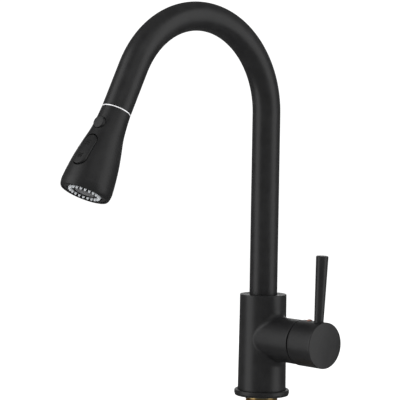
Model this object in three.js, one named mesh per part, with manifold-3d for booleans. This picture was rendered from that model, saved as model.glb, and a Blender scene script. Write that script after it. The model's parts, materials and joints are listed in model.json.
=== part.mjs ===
// Single-handle pull-down kitchen faucet, in millimetres, +Z up.
// The origin is the centre of the base where it rests on the sink deck. The spout points along -Y and
// the handle stands out along +X. The spray head is built in a frame of its own: its origin is the
// spout's mouth, +Z runs down the head towards the spray face and +Y is the side with the buttons.
import * as THREE from "three";
import { mergeVertices } from "three/addons/utils/BufferGeometryUtils.js";
import Module from "manifold-3d";

const wasm = await Module();
wasm.setup();

// ---- driving dimensions ----
const CLEARANCE = 0.3; // between pieces that touch or slide
const OVERCUT = 1; // how far a cutting solid passes a face that it cuts
const FINE = 36; // facets round a large turned piece
const MEDIUM = 20;
const COARSE = 12;
const SMALL = 8;

// The gooseneck tube rises, bends over and ends in a short straight tip.
const tube = { radius: 14.3, wall: 1.2, riseTop: 289.5, bend: 93.7, bendAngle: 154.35, tip: 45.8 };
const tubeGroove = { height: 93.8, width: 3, depth: 0.6 };
const seam = { thickness: 1, gap: 0.3 };
const hose = { radius: 4.8, offset: 8.2, straightTo: 62, centredFrom: 100, headClearance: 8.3 };

// The shank fills a 35 mm deck hole, and the base stands over it.
const deck = { thickness: 30, clampedTo: -72 };
const shank = { outer: 16.5, inner: 13.5, engaged: 13.5, relief: 0.8, reliefWidth: 3 };
const gasket = { inset: 0.6, thickness: 1.5 };
const flange = { lip: 3.2, height: 4.2, side: 2.6, rim: 1.9 };
const clampGasket = { width: 9.2, thickness: 3 };
const clampWasher = { width: 9.2, thickness: 2 };
const nut = { width: 7.2, height: 14, ears: 4, earReach: 7, earWidth: 7 };

const body = { footRadius: 24.8, topRadius: 23.9, top: 104.1, wall: 4.7, edge: 0.4 };
const spoutSocket = { depth: 24.8, bushWall: 2.1, web: 2.2, hoseHole: 12.5 };
const bush = { lower: 5.7, upper: 6, seal: 0.95 };
const spoutScrew = { radius: 2.5, tip: 1.2, inset: 0.9 };

// Stations along the branch's axis run from the faucet's centre line.
const cartridge = {
  sealFrom: 23.7, sealThickness: 1.5, outer: 17.6, wall: 1.9, floor: 2.5, end: 48.2, lip: 1.3,
  portRadius: 3.2, discThickness: 3, discPlay: 4.4, carrierThickness: 5.1,
  turntableThickness: 6.1, neckRadius: 11, neckEnd: 50.5, portCircle: 7,
};
const branch = { height: 60, cartridgePlay: 1.3, wall: 3.6, end: 55.9, edge: 0.7 };
const manifold = { from: 4, portRadius: 3 };
const nipple = {
  outer: 4, neck: 3.4, inner: 2.6, top: 48, shoulder: 40, barbLength: 5, bottom: 26, spread: 8,
  inletX: 8.5, outletX: 15,
};
const stem = {
  pivot: 46.5, square: 6.5, foot: 38.9, footRadius: 2.6, shin: 2.1, end: 79, pinRadius: 1.5, pinInset: 0.8,
};
const bonnet = { length: 5, dome: 3.5, bore: 13.5, shoulder: 0.4, round: 3 };
const flowTilt = 20; // degrees of lever lift, which sizes the stem's slot

const hub = {
  seam: 1.5, length: 30.9, proud: 0.6, rimWall: 0.8, rimDepth: 6, rimTaper: 3, wall: 3, endWall: 4,
  boss: 8, bossFrom: 62, edge: 0.4, notchHalfWidth: 5, notchDepth: 3.4,
};
const lever = {
  station: 78.2, lean: 2.6, base: 4.6, tip: 6.2, length: 89.1, seat: 17, root: 3, rootFrom: 8.6,
  bossWall: 3.4, edge: 0.5,
};
const handleScrew = { station: 71, radius: 2.4, from: 3.6, length: 9, tip: 1.5, bossWall: 3.2 };
const dot = { station: 66.5, radius: 2.9, depth: 2.2, crown: 0.9 };

// The spray head. Stations run down its axis from the spout's mouth, and flares are how much wider
// than the spout's tube it is there. It is docked turned a few degrees towards the handle.
const head = { length: 85.4, wall: 2.2, rimInset: 2.4, rimWall: 1.2, turn: 11 };
const headOutline = [
  { station: 0.3, flare: 0 }, { station: 12.3, flare: 0.8 }, { station: 24.5, flare: 2.25 },
  { station: 38.8, flare: 5.3 }, { station: 53.1, flare: 8 }, { station: 67.4, flare: 9.8 },
  { station: 77.4, flare: 10.7 },
];
const collar = { length: 20, wall: 1.9, inset: 1.2 };
const spigot = { top: -16, wall: 3.9, flangeFrom: 2.2, flangeEnd: 4 };
const connector = { top: -8, stubPlay: 1.1, hex: 8.4, hexFrom: 4.4, hexEnd: 11.2, bore: 3 };
const inletNeck = { top: 11.6, radius: 7.6, end: 30.3 };
const checkValve = { radius: 4.8, top: 21.5, length: 7.5, bore: 2.4, lead: 1 };
const core = { radius: 9.5, end: 66, platePlay: 1.4, plateFrom: 70, plateEnd: 74, bore: 2.2, boreOffset: 3 };
const pause = {
  station: 18.8, radius: 6.1, proud: 2.2, thickness: 4.2, plunger: 2, plungerTo: 4.5, edge: 0.8,
};
const pauseSpring = { radius: 4, wire: 0.35, turns: 3, endGap: 0.7 };
const rocker = {
  station: 48.9, halfLength: 16.6, halfWidth: 7.4, proud: 0.9, thickness: 3.2, gap: 0.5,
  pivotDepth: 3.1, tailWidth: 6, tailHeight: 4, tailPlay: 0.6, restTilt: -3.5, knuckleWall: 1.2,
};
const rockerPin = { radius: 1, anchor: 2 };
const spool = { offset: 6, radius: 2.2, from: 36, to: 57, end: 3, slotDepth: 2, play: 0.5 };
const face = { from: 79.5, end: 84.6, grooveFrom: 81.2 };
const nozzles = { width: 5.3, gapToAerator: 0.3, count: 22, radius: 1, root: 1.3, height: 0.7 };
const aerator = {
  radius: 11.2, wall: 1.5, from: 74.6, end: 84.9, mesh: 0.9, meshAt: 83.2, holes: 12, hole: 1,
  holeCircle: 5.6,
};
const faceSeal = { inset: 1.8, radius: 0.9 };

// ---- sizes that follow from them ----
const branchBore = cartridge.outer + branch.cartridgePlay;
const branchRadius = branchBore + branch.wall;
const hubRadius = branchRadius + hub.proud;
const hubStart = branch.end + hub.seam;
const hubEnd = hubStart + hub.length;
const housingInner = cartridge.outer - cartridge.wall;
const turntableRadius = housingInner - CLEARANCE;
const movingRadius = turntableRadius - cartridge.discPlay;
const bodyCavity = body.footRadius - body.wall;
const socketRadius = tube.radius + 2 * CLEARANCE + spoutSocket.bushWall;
const flangeRadius = body.footRadius + CLEARANCE + flange.lip;
const innerRadius = tube.radius - tube.wall;
const collarInner = innerRadius - CLEARANCE - collar.wall;
const spigotRadius = collarInner - CLEARANCE;
const spigotInner = spigotRadius - spigot.wall;
const headSpline = new THREE.SplineCurve(
  headOutline.map(({ station, flare }) => new THREE.Vector2(station, tube.radius + flare)),
);
const widest = headSpline.points[headSpline.points.length - 1];
const faceEdge = widest.y - head.rimInset;
const faceRadius = faceEdge - head.rimWall - CLEARANCE;

// ---- finishes ----
function finish(color, roughness, metalness) {
  return () => new THREE.MeshStandardMaterial({ color, roughness, metalness });
}
const matteBlack = finish(0x1b1b1c, 0.42, 0.35);
const blackPlastic = finish(0x161617, 0.5, 0);
const greyPlastic = finish(0x8f9296, 0.5, 0);
const whitePlastic = finish(0xe6e6e2, 0.45, 0);
const rubber = finish(0x1d1d1d, 0.85, 0);
const steel = finish(0xb9bcc0, 0.3, 1);
const brass = finish(0xb58a45, 0.35, 1);
const ceramic = finish(0xf1efe8, 0.25, 0);
const brightRing = finish(0xdfe1e3, 0.25, 0.6);
const clearSilicone = finish(0xc9ced2, 0.35, 0);
const redBlue = finish(0xa0483c, 0.35, 0);
const braid = finish(0x4a4c50, 0.7, 0);

// ---- solids ----
function toSolid(geometry) {
  const bare = geometry.index ? geometry.toNonIndexed() : geometry.clone();
  bare.deleteAttribute("normal");
  bare.deleteAttribute("uv");
  const merged = mergeVertices(bare, 1e-4);
  const corners = Array.from(merged.index.array);
  const kept = [];
  for (let i = 0; i < corners.length; i += 3) {
    const [a, b, c] = corners.slice(i, i + 3);
    if (a !== b && b !== c && a !== c) kept.push(a, b, c);
  }
  const vertProperties = new Float32Array(merged.attributes.position.array);
  const build = (triVerts) =>
    new wasm.Manifold(new wasm.Mesh({ numProp: 3, vertProperties, triVerts: new Uint32Array(triVerts) }));
  const solid = build(kept);
  return solid.volume() < 0 ? build(kept.reverse()) : solid;
}

function toMesh(name, solid, material) {
  const made = solid.getMesh();
  const geometry = new THREE.BufferGeometry();
  geometry.setAttribute("position", new THREE.BufferAttribute(made.vertProperties, 3));
  geometry.setIndex(new THREE.BufferAttribute(made.triVerts, 1));
  geometry.computeVertexNormals();
  const mesh = new THREE.Mesh(geometry, material());
  mesh.name = name;
  return mesh;
}

const join = (first, ...others) => others.reduce((all, next) => all.add(next), first);
const cut = (first, ...tools) => tools.reduce((left, tool) => left.subtract(tool), first);

// A closed outline of [radius, z] points turned round Z.
function turned(outline, facets = FINE) {
  const closed = [...outline, outline[0]].map(([r, z]) => new THREE.Vector2(r, z));
  return toSolid(new THREE.LatheGeometry(closed, facets).rotateX(Math.PI / 2));
}

function ring(outer, inner, from, to, facets = FINE) {
  return turned([[inner, from], [outer, from], [outer, to], [inner, to]], facets);
}

function rod(radius, from, to, facets = MEDIUM, topRadius = radius) {
  const geometry = new THREE.CylinderGeometry(topRadius, radius, to - from, facets);
  return toSolid(geometry.rotateX(Math.PI / 2).translate(0, 0, (from + to) / 2));
}

function block([x0, x1], [y0, y1], [z0, z1]) {
  const geometry = new THREE.BoxGeometry(x1 - x0, y1 - y0, z1 - z0);
  return toSolid(geometry.translate((x0 + x1) / 2, (y0 + y1) / 2, (z0 + z1) / 2));
}

function torus(ringRadius, radius, z) {
  return toSolid(new THREE.TorusGeometry(ringRadius, radius, 5, MEDIUM).translate(0, 0, z));
}

const degrees = THREE.MathUtils.degToRad;
const placed = (solid, matrix) => solid.transform(matrix.elements);
const moved = (solid, x, y, z) => placed(solid, new THREE.Matrix4().makeTranslation(x, y, z));
const alongX = (solid) => placed(solid, new THREE.Matrix4().makeRotationY(Math.PI / 2));
const alongY = (solid) => placed(solid, new THREE.Matrix4().makeRotationX(-Math.PI / 2));

// The faucet's turned pieces on the branch stand on this axis.
const onBranch = (solid) => moved(alongX(solid), 0, 0, branch.height);

// ---- deck mounting ----
const flangeFrom = gasket.thickness + CLEARANCE;
const flangeTop = flangeFrom + flange.height;

function deckGasket() {
  const inner = shank.outer + CLEARANCE;
  return ring(flangeRadius - gasket.inset, inner, 0, gasket.thickness);
}

function baseFlange() {
  const inner = body.footRadius + CLEARANCE;
  const rise = flange.height - flange.side;
  const run = flange.lip - flange.rim;
  const shoulder = [];
  const steps = 4;
  for (let i = 0; i <= steps; i++) {
    const angle = (Math.PI / 2) * (i / steps);
    shoulder.push([
      flangeRadius - run + run * Math.cos(angle),
      flangeFrom + flange.side + rise * Math.sin(angle),
    ]);
  }
  return turned([[inner, flangeFrom], [flangeRadius, flangeFrom], ...shoulder, [inner, flangeTop]]);
}

function mountingShank() {
  const waist = shank.outer - shank.relief;
  const top = flangeFrom + shank.engaged;
  return turned([
    [shank.inner, deck.clampedTo], [waist, deck.clampedTo], [shank.outer, deck.clampedTo + shank.relief],
    [shank.outer, -shank.reliefWidth], [waist, -shank.reliefWidth], [waist, 0], [shank.outer, 0],
    [shank.outer, top], [shank.inner, top],
  ], MEDIUM);
}

const clampTop = -deck.thickness;
const washerTop = clampTop - clampGasket.thickness - CLEARANCE;
const nutTop = washerTop - clampWasher.thickness - CLEARANCE;

function clampRing({ width, thickness }, top) {
  const inner = shank.outer + CLEARANCE;
  return ring(inner + width, inner, top - thickness, top, MEDIUM);
}

function mountingNut() {
  const from = nutTop - nut.height;
  const bore = shank.outer + CLEARANCE;
  const radius = bore + nut.width;
  let solid = rod(radius, from, nutTop);
  for (let i = 0; i < nut.ears; i++) {
    const ear = block(
      [radius - OVERCUT, radius + nut.earReach],
      [-nut.earWidth / 2, nut.earWidth / 2],
      [from, nutTop - CLEARANCE],
    );
    const turn = new THREE.Matrix4().makeRotationZ((i * 2 * Math.PI) / nut.ears + Math.PI / nut.ears);
    solid = solid.add(placed(ear, turn));
  }
  return cut(solid, rod(bore, from - OVERCUT, nutTop + OVERCUT));
}

// ---- body and waterways ----
const socketFloor = body.top - spoutSocket.depth;

function faucetBody() {
  const outside = turned([
    [0, flangeFrom], [body.footRadius, flangeFrom], [body.topRadius, body.top - body.edge],
    [body.topRadius - body.edge, body.top], [0, body.top],
  ]);
  const arm = onBranch(turned([
    [0, 0], [branchRadius, 0], [branchRadius, branch.end - branch.edge],
    [branchRadius - branch.edge, branch.end], [0, branch.end],
  ]));
  const cavityFrom = flangeFrom + shank.engaged + CLEARANCE;
  const screwHole = alongY(rod(spoutScrew.radius + CLEARANCE, 0, body.footRadius + OVERCUT, SMALL));
  return cut(
    join(outside, arm),
    rod(shank.outer + CLEARANCE, flangeFrom - OVERCUT, cavityFrom + OVERCUT),
    rod(bodyCavity, cavityFrom, socketFloor - spoutSocket.web),
    rod(spoutSocket.hoseHole, cavityFrom, socketFloor + OVERCUT),
    rod(socketRadius, socketFloor, body.top + OVERCUT),
    onBranch(rod(branchBore, 0, branch.end + OVERCUT, FINE)),
    moved(screwHole, 0, 0, tubeGroove.height),
  );
}

const portAngles = [90, 210, 330];
const ports = (radius, from, to) =>
  portAngles.map((angle) => {
    const at = degrees(angle);
    const [across, over] = [Math.cos(at) * cartridge.portCircle, Math.sin(at) * cartridge.portCircle];
    return onBranch(moved(rod(radius, from, to, SMALL), across, over, 0));
  });

function valveManifold() {
  const end = cartridge.sealFrom - CLEARANCE;
  const slug = onBranch(rod(branchBore - CLEARANCE, manifold.from, end, FINE));
  const drill = (x, y) =>
    moved(rod(nipple.outer + CLEARANCE, nipple.bottom, nipple.top + CLEARANCE, COARSE), x, y, 0);
  return cut(
    slug,
    drill(nipple.inletX, nipple.spread),
    drill(nipple.inletX, -nipple.spread),
    drill(nipple.outletX, 0),
    ...ports(manifold.portRadius, nipple.inletX, end + OVERCUT),
  );
}

function pipeNipple(x, y) {
  const barb = nipple.bottom + nipple.barbLength;
  return moved(turned([
    [nipple.inner, nipple.bottom], [nipple.neck, nipple.bottom], [nipple.outer, barb], [nipple.neck, barb],
    [nipple.neck, nipple.shoulder], [nipple.outer, nipple.shoulder], [nipple.outer, nipple.top],
    [nipple.inner, nipple.top],
  ], COARSE), x, y, 0);
}

// ---- cartridge ----
const housingFrom = cartridge.sealFrom + cartridge.sealThickness + CLEARANCE;
const fixedDiscFrom = housingFrom + cartridge.floor + CLEARANCE;
const movingDiscFrom = fixedDiscFrom + cartridge.discThickness + CLEARANCE;
const carrierFrom = movingDiscFrom + cartridge.discThickness + CLEARANCE;
const turntableFrom = carrierFrom + cartridge.carrierThickness + CLEARANCE;
const turntableEnd = turntableFrom + cartridge.turntableThickness;
function cartridgeSeal() {
  const to = cartridge.sealFrom + cartridge.sealThickness;
  const plate = onBranch(rod(turntableRadius, cartridge.sealFrom, to));
  return cut(plate, ...ports(cartridge.portRadius, cartridge.sealFrom - OVERCUT, to + OVERCUT));
}

function cartridgeHousing() {
  const lipInner = cartridge.neckRadius + CLEARANCE;
  const shell = onBranch(turned([
    [0, housingFrom], [cartridge.outer, housingFrom], [cartridge.outer, cartridge.end],
    [lipInner, cartridge.end], [lipInner, cartridge.end - cartridge.lip],
    [housingInner, cartridge.end - cartridge.lip], [housingInner, housingFrom + cartridge.floor],
    [0, housingFrom + cartridge.floor],
  ]));
  const floorEnd = housingFrom + cartridge.floor + OVERCUT;
  return cut(shell, ...ports(cartridge.portRadius, housingFrom - OVERCUT, floorEnd));
}

function fixedDisc() {
  const to = fixedDiscFrom + cartridge.discThickness;
  const disc = onBranch(rod(turntableRadius, fixedDiscFrom, to));
  return cut(disc, ...ports(manifold.portRadius, fixedDiscFrom - OVERCUT, to + OVERCUT));
}

function movingDisc() {
  const to = movingDiscFrom + cartridge.discThickness;
  const pocket = onBranch(rod(cartridge.portCircle, movingDiscFrom - OVERCUT, to - OVERCUT, COARSE));
  return cut(onBranch(rod(movingRadius, movingDiscFrom, to)), pocket);
}

function discCarrier() {
  const to = carrierFrom + cartridge.carrierThickness;
  const halfSlot = stem.footRadius + CLEARANCE;
  const halfWidth = stem.square / 2 + CLEARANCE;
  const floor = stem.foot - stem.footRadius - CLEARANCE;
  const slot = squareBar(floor, to + OVERCUT, halfWidth, halfSlot);
  return cut(onBranch(rod(movingRadius, carrierFrom, to)), slot);
}

function cartridgeTurntable() {
  const solid = onBranch(turned([
    [0, turntableFrom], [turntableRadius, turntableFrom], [turntableRadius, turntableEnd],
    [cartridge.neckRadius, turntableEnd], [cartridge.neckRadius, cartridge.neckEnd], [0, cartridge.neckEnd],
  ], MEDIUM));
  const reach = cartridge.neckEnd - stem.pivot;
  const tilt = degrees(flowTilt);
  const halfSlot = stem.square / 2 / Math.cos(tilt) + reach * Math.tan(tilt) + CLEARANCE;
  const halfWidth = stem.square / 2 + CLEARANCE;
  const slot = squareBar(turntableFrom - OVERCUT, cartridge.neckEnd + OVERCUT, halfWidth, halfSlot);
  return cut(solid, slot, pivotRod(stem.pinRadius + CLEARANCE, turntableRadius + OVERCUT));
}

function pivotRod(radius, half) {
  return moved(alongY(rod(radius, -half, half, COARSE)), stem.pivot, 0, branch.height);
}

// A bar along the branch's axis, of a half width and a half height.
function squareBar(from, to, halfWidth, halfHeight) {
  return block([from, to], [-halfWidth, halfWidth], [branch.height - halfHeight, branch.height + halfHeight]);
}

function valveStem() {
  const half = stem.square / 2;
  const bar = squareBar(stem.pivot - half, stem.end, half, half);
  const shin = squareBar(stem.foot, stem.pivot, half, stem.shin);
  const foot = moved(alongY(rod(stem.footRadius, -half, half, COARSE)), stem.foot, 0, branch.height);
  return cut(join(bar, shin, foot), pivotRod(stem.pinRadius + CLEARANCE, half + OVERCUT));
}

function bonnetNut() {
  const from = cartridge.end + CLEARANCE;
  const to = from + bonnet.length;
  const crown = to + bonnet.dome;
  const outer = branchBore - bonnet.shoulder;
  return onBranch(turned([
    [bonnet.bore, from], [outer, from], [outer, to], [outer - bonnet.round / 3, to + bonnet.dome / 2],
    [outer - bonnet.round, crown], [bonnet.bore, crown],
  ]));
}

// ---- handle ----
const leverFrame = new THREE.Matrix4()
  .makeTranslation(lever.station, 0, branch.height)
  .multiply(new THREE.Matrix4().makeRotationY(degrees(lever.lean)));
const onLever = (solid) => placed(solid, leverFrame);

function handleHub() {
  const cavityEnd = hubEnd - hub.endWall;
  const rimInner = hubRadius - hub.rimWall;
  const inner = hubRadius - hub.wall;
  const rimEnd = hubStart + hub.rimDepth;
  const shell = onBranch(turned([
    [rimInner, hubStart], [hubRadius, hubStart], [hubRadius, hubEnd - hub.edge],
    [hubRadius - hub.edge, hubEnd], [0, hubEnd], [0, cavityEnd], [inner, cavityEnd],
    [inner, rimEnd + hub.rimTaper], [rimInner, rimEnd],
  ]));
  const stemBoss = onBranch(rod(hub.boss, hub.bossFrom, cavityEnd + OVERCUT, MEDIUM));
  const leverBoss = onLever(rod(lever.base + lever.bossWall, 0, hubRadius - hub.wall / 2, MEDIUM));
  const onScrew = (solid) => moved(solid, handleScrew.station, 0, branch.height);
  const screwBoss = onScrew(rod(handleScrew.radius + handleScrew.bossWall, -inner - OVERCUT, 0, COARSE));
  const halfSquare = stem.square / 2 + CLEARANCE;
  const socket = squareBar(hub.bossFrom - OVERCUT, stem.end + CLEARANCE, halfSquare, halfSquare);
  const screwHole = onScrew(rod(handleScrew.radius + CLEARANCE, -hubRadius - OVERCUT, 0, COARSE));
  const notch = moved(
    alongY(rod(hub.notchDepth, -hub.notchHalfWidth, hub.notchHalfWidth, COARSE)),
    hubStart, 0, branch.height - hubRadius,
  );
  const dotBore = rod(dot.radius + CLEARANCE, hubRadius - dot.depth, hubRadius + OVERCUT, COARSE);
  return cut(
    join(shell, stemBoss, leverBoss, screwBoss),
    socket,
    onLever(rod(lever.root + CLEARANCE, lever.rootFrom - CLEARANCE, hubRadius, COARSE)),
    onLever(rod(lever.base + CLEARANCE, lever.seat - CLEARANCE, hubRadius + OVERCUT, MEDIUM)),
    screwHole,
    notch,
    moved(dotBore, dot.station, 0, branch.height),
  );
}

function handleLever() {
  const blade = turned([
    [0, lever.rootFrom], [lever.root, lever.rootFrom], [lever.root, lever.seat], [lever.base, lever.seat],
    [lever.tip, lever.length - lever.edge], [lever.tip - lever.edge, lever.length], [0, lever.length],
  ], MEDIUM);
  return onLever(blade);
}

const SCREW_POINT = 1;

function setScrew(radius, length, tip) {
  const point = rod(tip, length - OVERCUT, length + SCREW_POINT, SMALL);
  const key = rod(radius / 2, -OVERCUT, length / 3, 6);
  return cut(join(rod(radius, 0, length, COARSE), point), key);
}

function handleSetScrew() {
  const bottom = branch.height - handleScrew.from - handleScrew.length;
  const screw = setScrew(handleScrew.radius, handleScrew.length - SCREW_POINT, handleScrew.tip);
  return moved(screw, handleScrew.station, 0, bottom);
}

function temperatureDot() {
  const top = hubRadius;
  return moved(turned([
    [0, top - dot.depth + CLEARANCE], [dot.radius, top - dot.depth + CLEARANCE], [dot.radius, top],
    [dot.radius * Math.SQRT1_2, top + dot.crown * Math.SQRT1_2], [0, top + dot.crown],
  ], COARSE), dot.station, 0, branch.height);
}

// ---- spout ----
const tubeFoot = socketFloor + CLEARANCE;
const bendAngle = degrees(tube.bendAngle);
const down = new THREE.Vector3(0, -Math.sin(bendAngle), Math.cos(bendAngle));
const arcPoint = (angle) =>
  new THREE.Vector3(0, tube.bend * (Math.cos(angle) - 1), tube.riseTop + tube.bend * Math.sin(angle));
const tubeEnd = arcPoint(bendAngle).addScaledVector(down, tube.tip);
const mouth = tubeEnd.clone().addScaledVector(down, seam.gap + seam.thickness);

// A path whose steps fall on chosen stations, so a straight stretch costs one step.
class StationPath extends THREE.Curve {
  constructor(points, tangents) {
    super();
    this.points = points;
    this.tangents = tangents;
  }
  station(u) {
    return Math.round(u * (this.points.length - 1));
  }
  getPoint(u) {
    return this.points[this.station(u)].clone();
  }
  getPointAt(u) {
    return this.getPoint(u);
  }
  getTangentAt(u) {
    return this.tangents[this.station(u)].clone();
  }
  getSpacedPoints() {
    return this.points.map((point) => point.clone());
  }
}

// The bend's steps are shared out so that one of them falls on its highest point.
const ARC_STEPS = 16;
const apexStep = Math.round((ARC_STEPS * Math.PI) / 2 / bendAngle);

function arcAngle(step) {
  const quarter = Math.PI / 2;
  if (step <= apexStep) return quarter * (step / apexStep);
  return quarter + (bendAngle - quarter) * ((step - apexStep) / (ARC_STEPS - apexStep));
}

function goosePath(from, to) {
  const points = [];
  const tangents = [];
  const add = (point, tangent) => {
    points.push(point);
    tangents.push(tangent);
  };
  for (const point of from) add(...point);
  for (let i = 0; i <= ARC_STEPS; i++) {
    const angle = arcAngle(i);
    add(arcPoint(angle), new THREE.Vector3(0, -Math.sin(angle), Math.cos(angle)));
  }
  add(to, down.clone());
  return new StationPath(points, tangents);
}

function swept(shape, path, facets) {
  return toSolid(new THREE.ExtrudeGeometry(shape, {
    steps: path.points.length - 1, extrudePath: path, bevelEnabled: false, curveSegments: facets / 2,
  }));
}

const up = new THREE.Vector3(0, 0, 1);
const TUBE_FACETS = 20;
const HOSE_FACETS = 10;

function circleShape(radius) {
  return new THREE.Shape().absarc(0, 0, radius, 0, 2 * Math.PI, false);
}

function spoutTube() {
  const bore = circleShape(innerRadius);
  const wall = circleShape(tube.radius);
  const footBelow = (extra) => [[new THREE.Vector3(0, 0, tubeFoot - extra), up.clone()]];
  const past = (extra) => tubeEnd.clone().addScaledVector(down, extra);
  const outside = swept(wall, goosePath(footBelow(0), past(0)), TUBE_FACETS);
  const inside = swept(bore, goosePath(footBelow(OVERCUT), past(OVERCUT)), TUBE_FACETS);
  const grooveFrom = tubeGroove.height - tubeGroove.width / 2;
  const groove = ring(
    tube.radius + OVERCUT, tube.radius - tubeGroove.depth, grooveFrom, grooveFrom + tubeGroove.width, MEDIUM,
  );
  return cut(outside, inside, groove);
}

const bushOuter = socketRadius - CLEARANCE;
const bushInner = tube.radius + CLEARANCE;

const spoutBush = (from, height) => ring(bushOuter, bushInner, from, from + height, MEDIUM);

function spoutSealRing() {
  const lowerTop = tubeFoot + bush.lower;
  const grooveFrom = tubeGroove.height - tubeGroove.width / 2;
  return torus((bushOuter + bushInner) / 2, bush.seal, (lowerTop + grooveFrom) / 2);
}

function spoutSetScrew() {
  const pointAt = tube.radius - tubeGroove.depth + CLEARANCE + SCREW_POINT;
  const headAt = body.topRadius - spoutScrew.inset;
  const shaft = setScrew(spoutScrew.radius, headAt - pointAt, spoutScrew.tip);
  const facing = placed(shaft, new THREE.Matrix4().makeRotationX(Math.PI / 2));
  return moved(facing, 0, headAt, tubeGroove.height);
}

// The inside stretch of the spray hose, from the shank's mouth up through the spout to the head.
function sprayHose(headHose) {
  const rise = [];
  const low = new THREE.Vector3(-hose.offset, 0, deck.clampedTo);
  const bendFrom = new THREE.Vector3(-hose.offset, 0, hose.straightTo);
  const bendTo = new THREE.Vector3(0, 0, hose.centredFrom);
  const lift = new THREE.Vector3(0, 0, (hose.centredFrom - hose.straightTo) / 2);
  const sway = new THREE.CubicBezierCurve3(
    bendFrom, bendFrom.clone().add(lift), bendTo.clone().sub(lift), bendTo,
  );
  rise.push([low, up.clone()]);
  const swaySteps = 8;
  for (let i = 0; i <= swaySteps; i++) {
    rise.push([sway.getPoint(i / swaySteps), sway.getTangent(i / swaySteps)]);
  }
  const end = mouth.clone().addScaledVector(down, headHose);
  return swept(circleShape(hose.radius), goosePath(rise, end), HOSE_FACETS);
}

function dockingCollar() {
  const outer = innerRadius - CLEARANCE;
  const to = -seam.thickness - collar.inset;
  return turned([
    [collarInner, to - collar.length], [outer, to - collar.length], [outer, to],
    [collarInner + collar.wall / 2, to], [collarInner, to - collar.inset],
  ], MEDIUM);
}

const seamRing = () => ring(tube.radius, collarInner, -seam.thickness, 0, FINE);

// ---- spray head ----
// The head's outer radius at a station before its widest one.
function headRadius(station) {
  let [low, high] = [0, 1];
  for (let i = 0; i < 30; i++) {
    const middle = (low + high) / 2;
    if (headSpline.getPoint(middle).x < station) low = middle;
    else high = middle;
  }
  return headSpline.getPoint(low).y;
}

// The head's outside, grown or shrunk all over, between two stations. Past the widest station it
// rounds in to the rim of the face.
function headOutside(grow, from, to, steps = 8) {
  const sideEnd = Math.min(to, widest.x);
  const side = [];
  for (let i = 0; i <= steps; i++) {
    const station = from + ((sideEnd - from) * i) / steps;
    side.push([headRadius(station) + grow, station]);
  }
  const corner = [];
  const cornerSteps = 4;
  for (let i = 1; i <= cornerSteps && to > widest.x; i++) {
    const angle = (Math.PI / 2) * (i / cornerSteps);
    corner.push([
      faceEdge + head.rimInset * Math.cos(angle) + grow,
      widest.x + (to - widest.x) * Math.sin(angle),
    ]);
  }
  return turned([[0, from], ...side, ...corner, [0, to]]);
}

function ovalPrism(halfLength, halfWidth, station, from, to) {
  // Its ends are half circles.
  const straight = halfLength - halfWidth;
  const shape = new THREE.Shape();
  shape.absarc(0, station + straight, halfWidth, 0, Math.PI, false);
  shape.absarc(0, station - straight, halfWidth, Math.PI, 2 * Math.PI, false);
  const options = { depth: to - from, bevelEnabled: false, curveSegments: SMALL };
  const prism = new THREE.ExtrudeGeometry(shape, options);
  // The outline's second axis becomes the head's axis, and its depth runs outwards along +Y.
  const upright = new THREE.Matrix4().makeBasis(
    new THREE.Vector3(-1, 0, 0), new THREE.Vector3(0, 0, 1), new THREE.Vector3(0, 1, 0),
  );
  return toSolid(prism.applyMatrix4(upright).translate(0, from, 0));
}

const outside = (station) => headRadius(station) + rocker.proud + OVERCUT;
const rockerSurface = headRadius(rocker.station);
const rockerPivotRadius = rockerSurface - rocker.pivotDepth;
const rockerTailEnd = spool.offset + spool.radius - rocker.tailPlay;
const pinHalf = rocker.halfWidth + rockerPin.anchor;

function headShell() {
  const reach = widest.y + OVERCUT;
  const faceSeat = face.from - CLEARANCE;
  const buttonHole = moved(
    alongY(rod(pause.radius + CLEARANCE, inletNeck.radius, reach, MEDIUM)), 0, 0, pause.station,
  );
  const rockerHole = ovalPrism(
    rocker.halfLength + rocker.gap, rocker.halfWidth + rocker.gap, rocker.station, inletNeck.radius, reach,
  );
  return cut(
    headOutside(0, seam.gap, head.length),
    headOutside(-head.wall, spigot.flangeFrom - CLEARANCE, faceSeat, 4),
    rod(collarInner, seam.gap - OVERCUT, spigot.flangeFrom, MEDIUM),
    rod(faceRadius + CLEARANCE, faceSeat - OVERCUT, head.length + OVERCUT, FINE),
    buttonHole,
    rockerHole,
    headAcross(rockerPin.radius + CLEARANCE, pinHalf + CLEARANCE),
  );
}

function headAcross(radius, half) {
  return moved(alongX(rod(radius, -half, half, COARSE)), 0, rockerPivotRadius, rocker.station);
}

function dockSpigot() {
  const flangeOuter = tube.radius - head.wall - CLEARANCE;
  return turned([
    [spigotInner, spigot.top], [spigotRadius - spigot.wall / 4, spigot.top],
    [spigotRadius, spigot.top + spigot.wall / 2], [spigotRadius, spigot.flangeFrom],
    [flangeOuter, spigot.flangeFrom], [flangeOuter, spigot.flangeEnd], [spigotInner, spigot.flangeEnd],
  ], MEDIUM);
}

function hoseConnector() {
  const tail = rod(spigotInner - connector.stubPlay, connector.top, connector.hexFrom + OVERCUT, COARSE);
  const hex = rod(connector.hex, connector.hexFrom, connector.hexEnd, 6);
  const bore = rod(connector.bore, connector.top - OVERCUT, connector.hexEnd + OVERCUT, SMALL);
  return cut(join(tail, hex), bore);
}

function checkValveCartridge() {
  const to = checkValve.top + checkValve.length;
  return turned([
    [checkValve.bore, checkValve.top], [checkValve.radius - checkValve.lead / 2, checkValve.top],
    [checkValve.radius, checkValve.top + checkValve.lead], [checkValve.radius, to], [checkValve.bore, to],
  ], COARSE);
}

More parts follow.
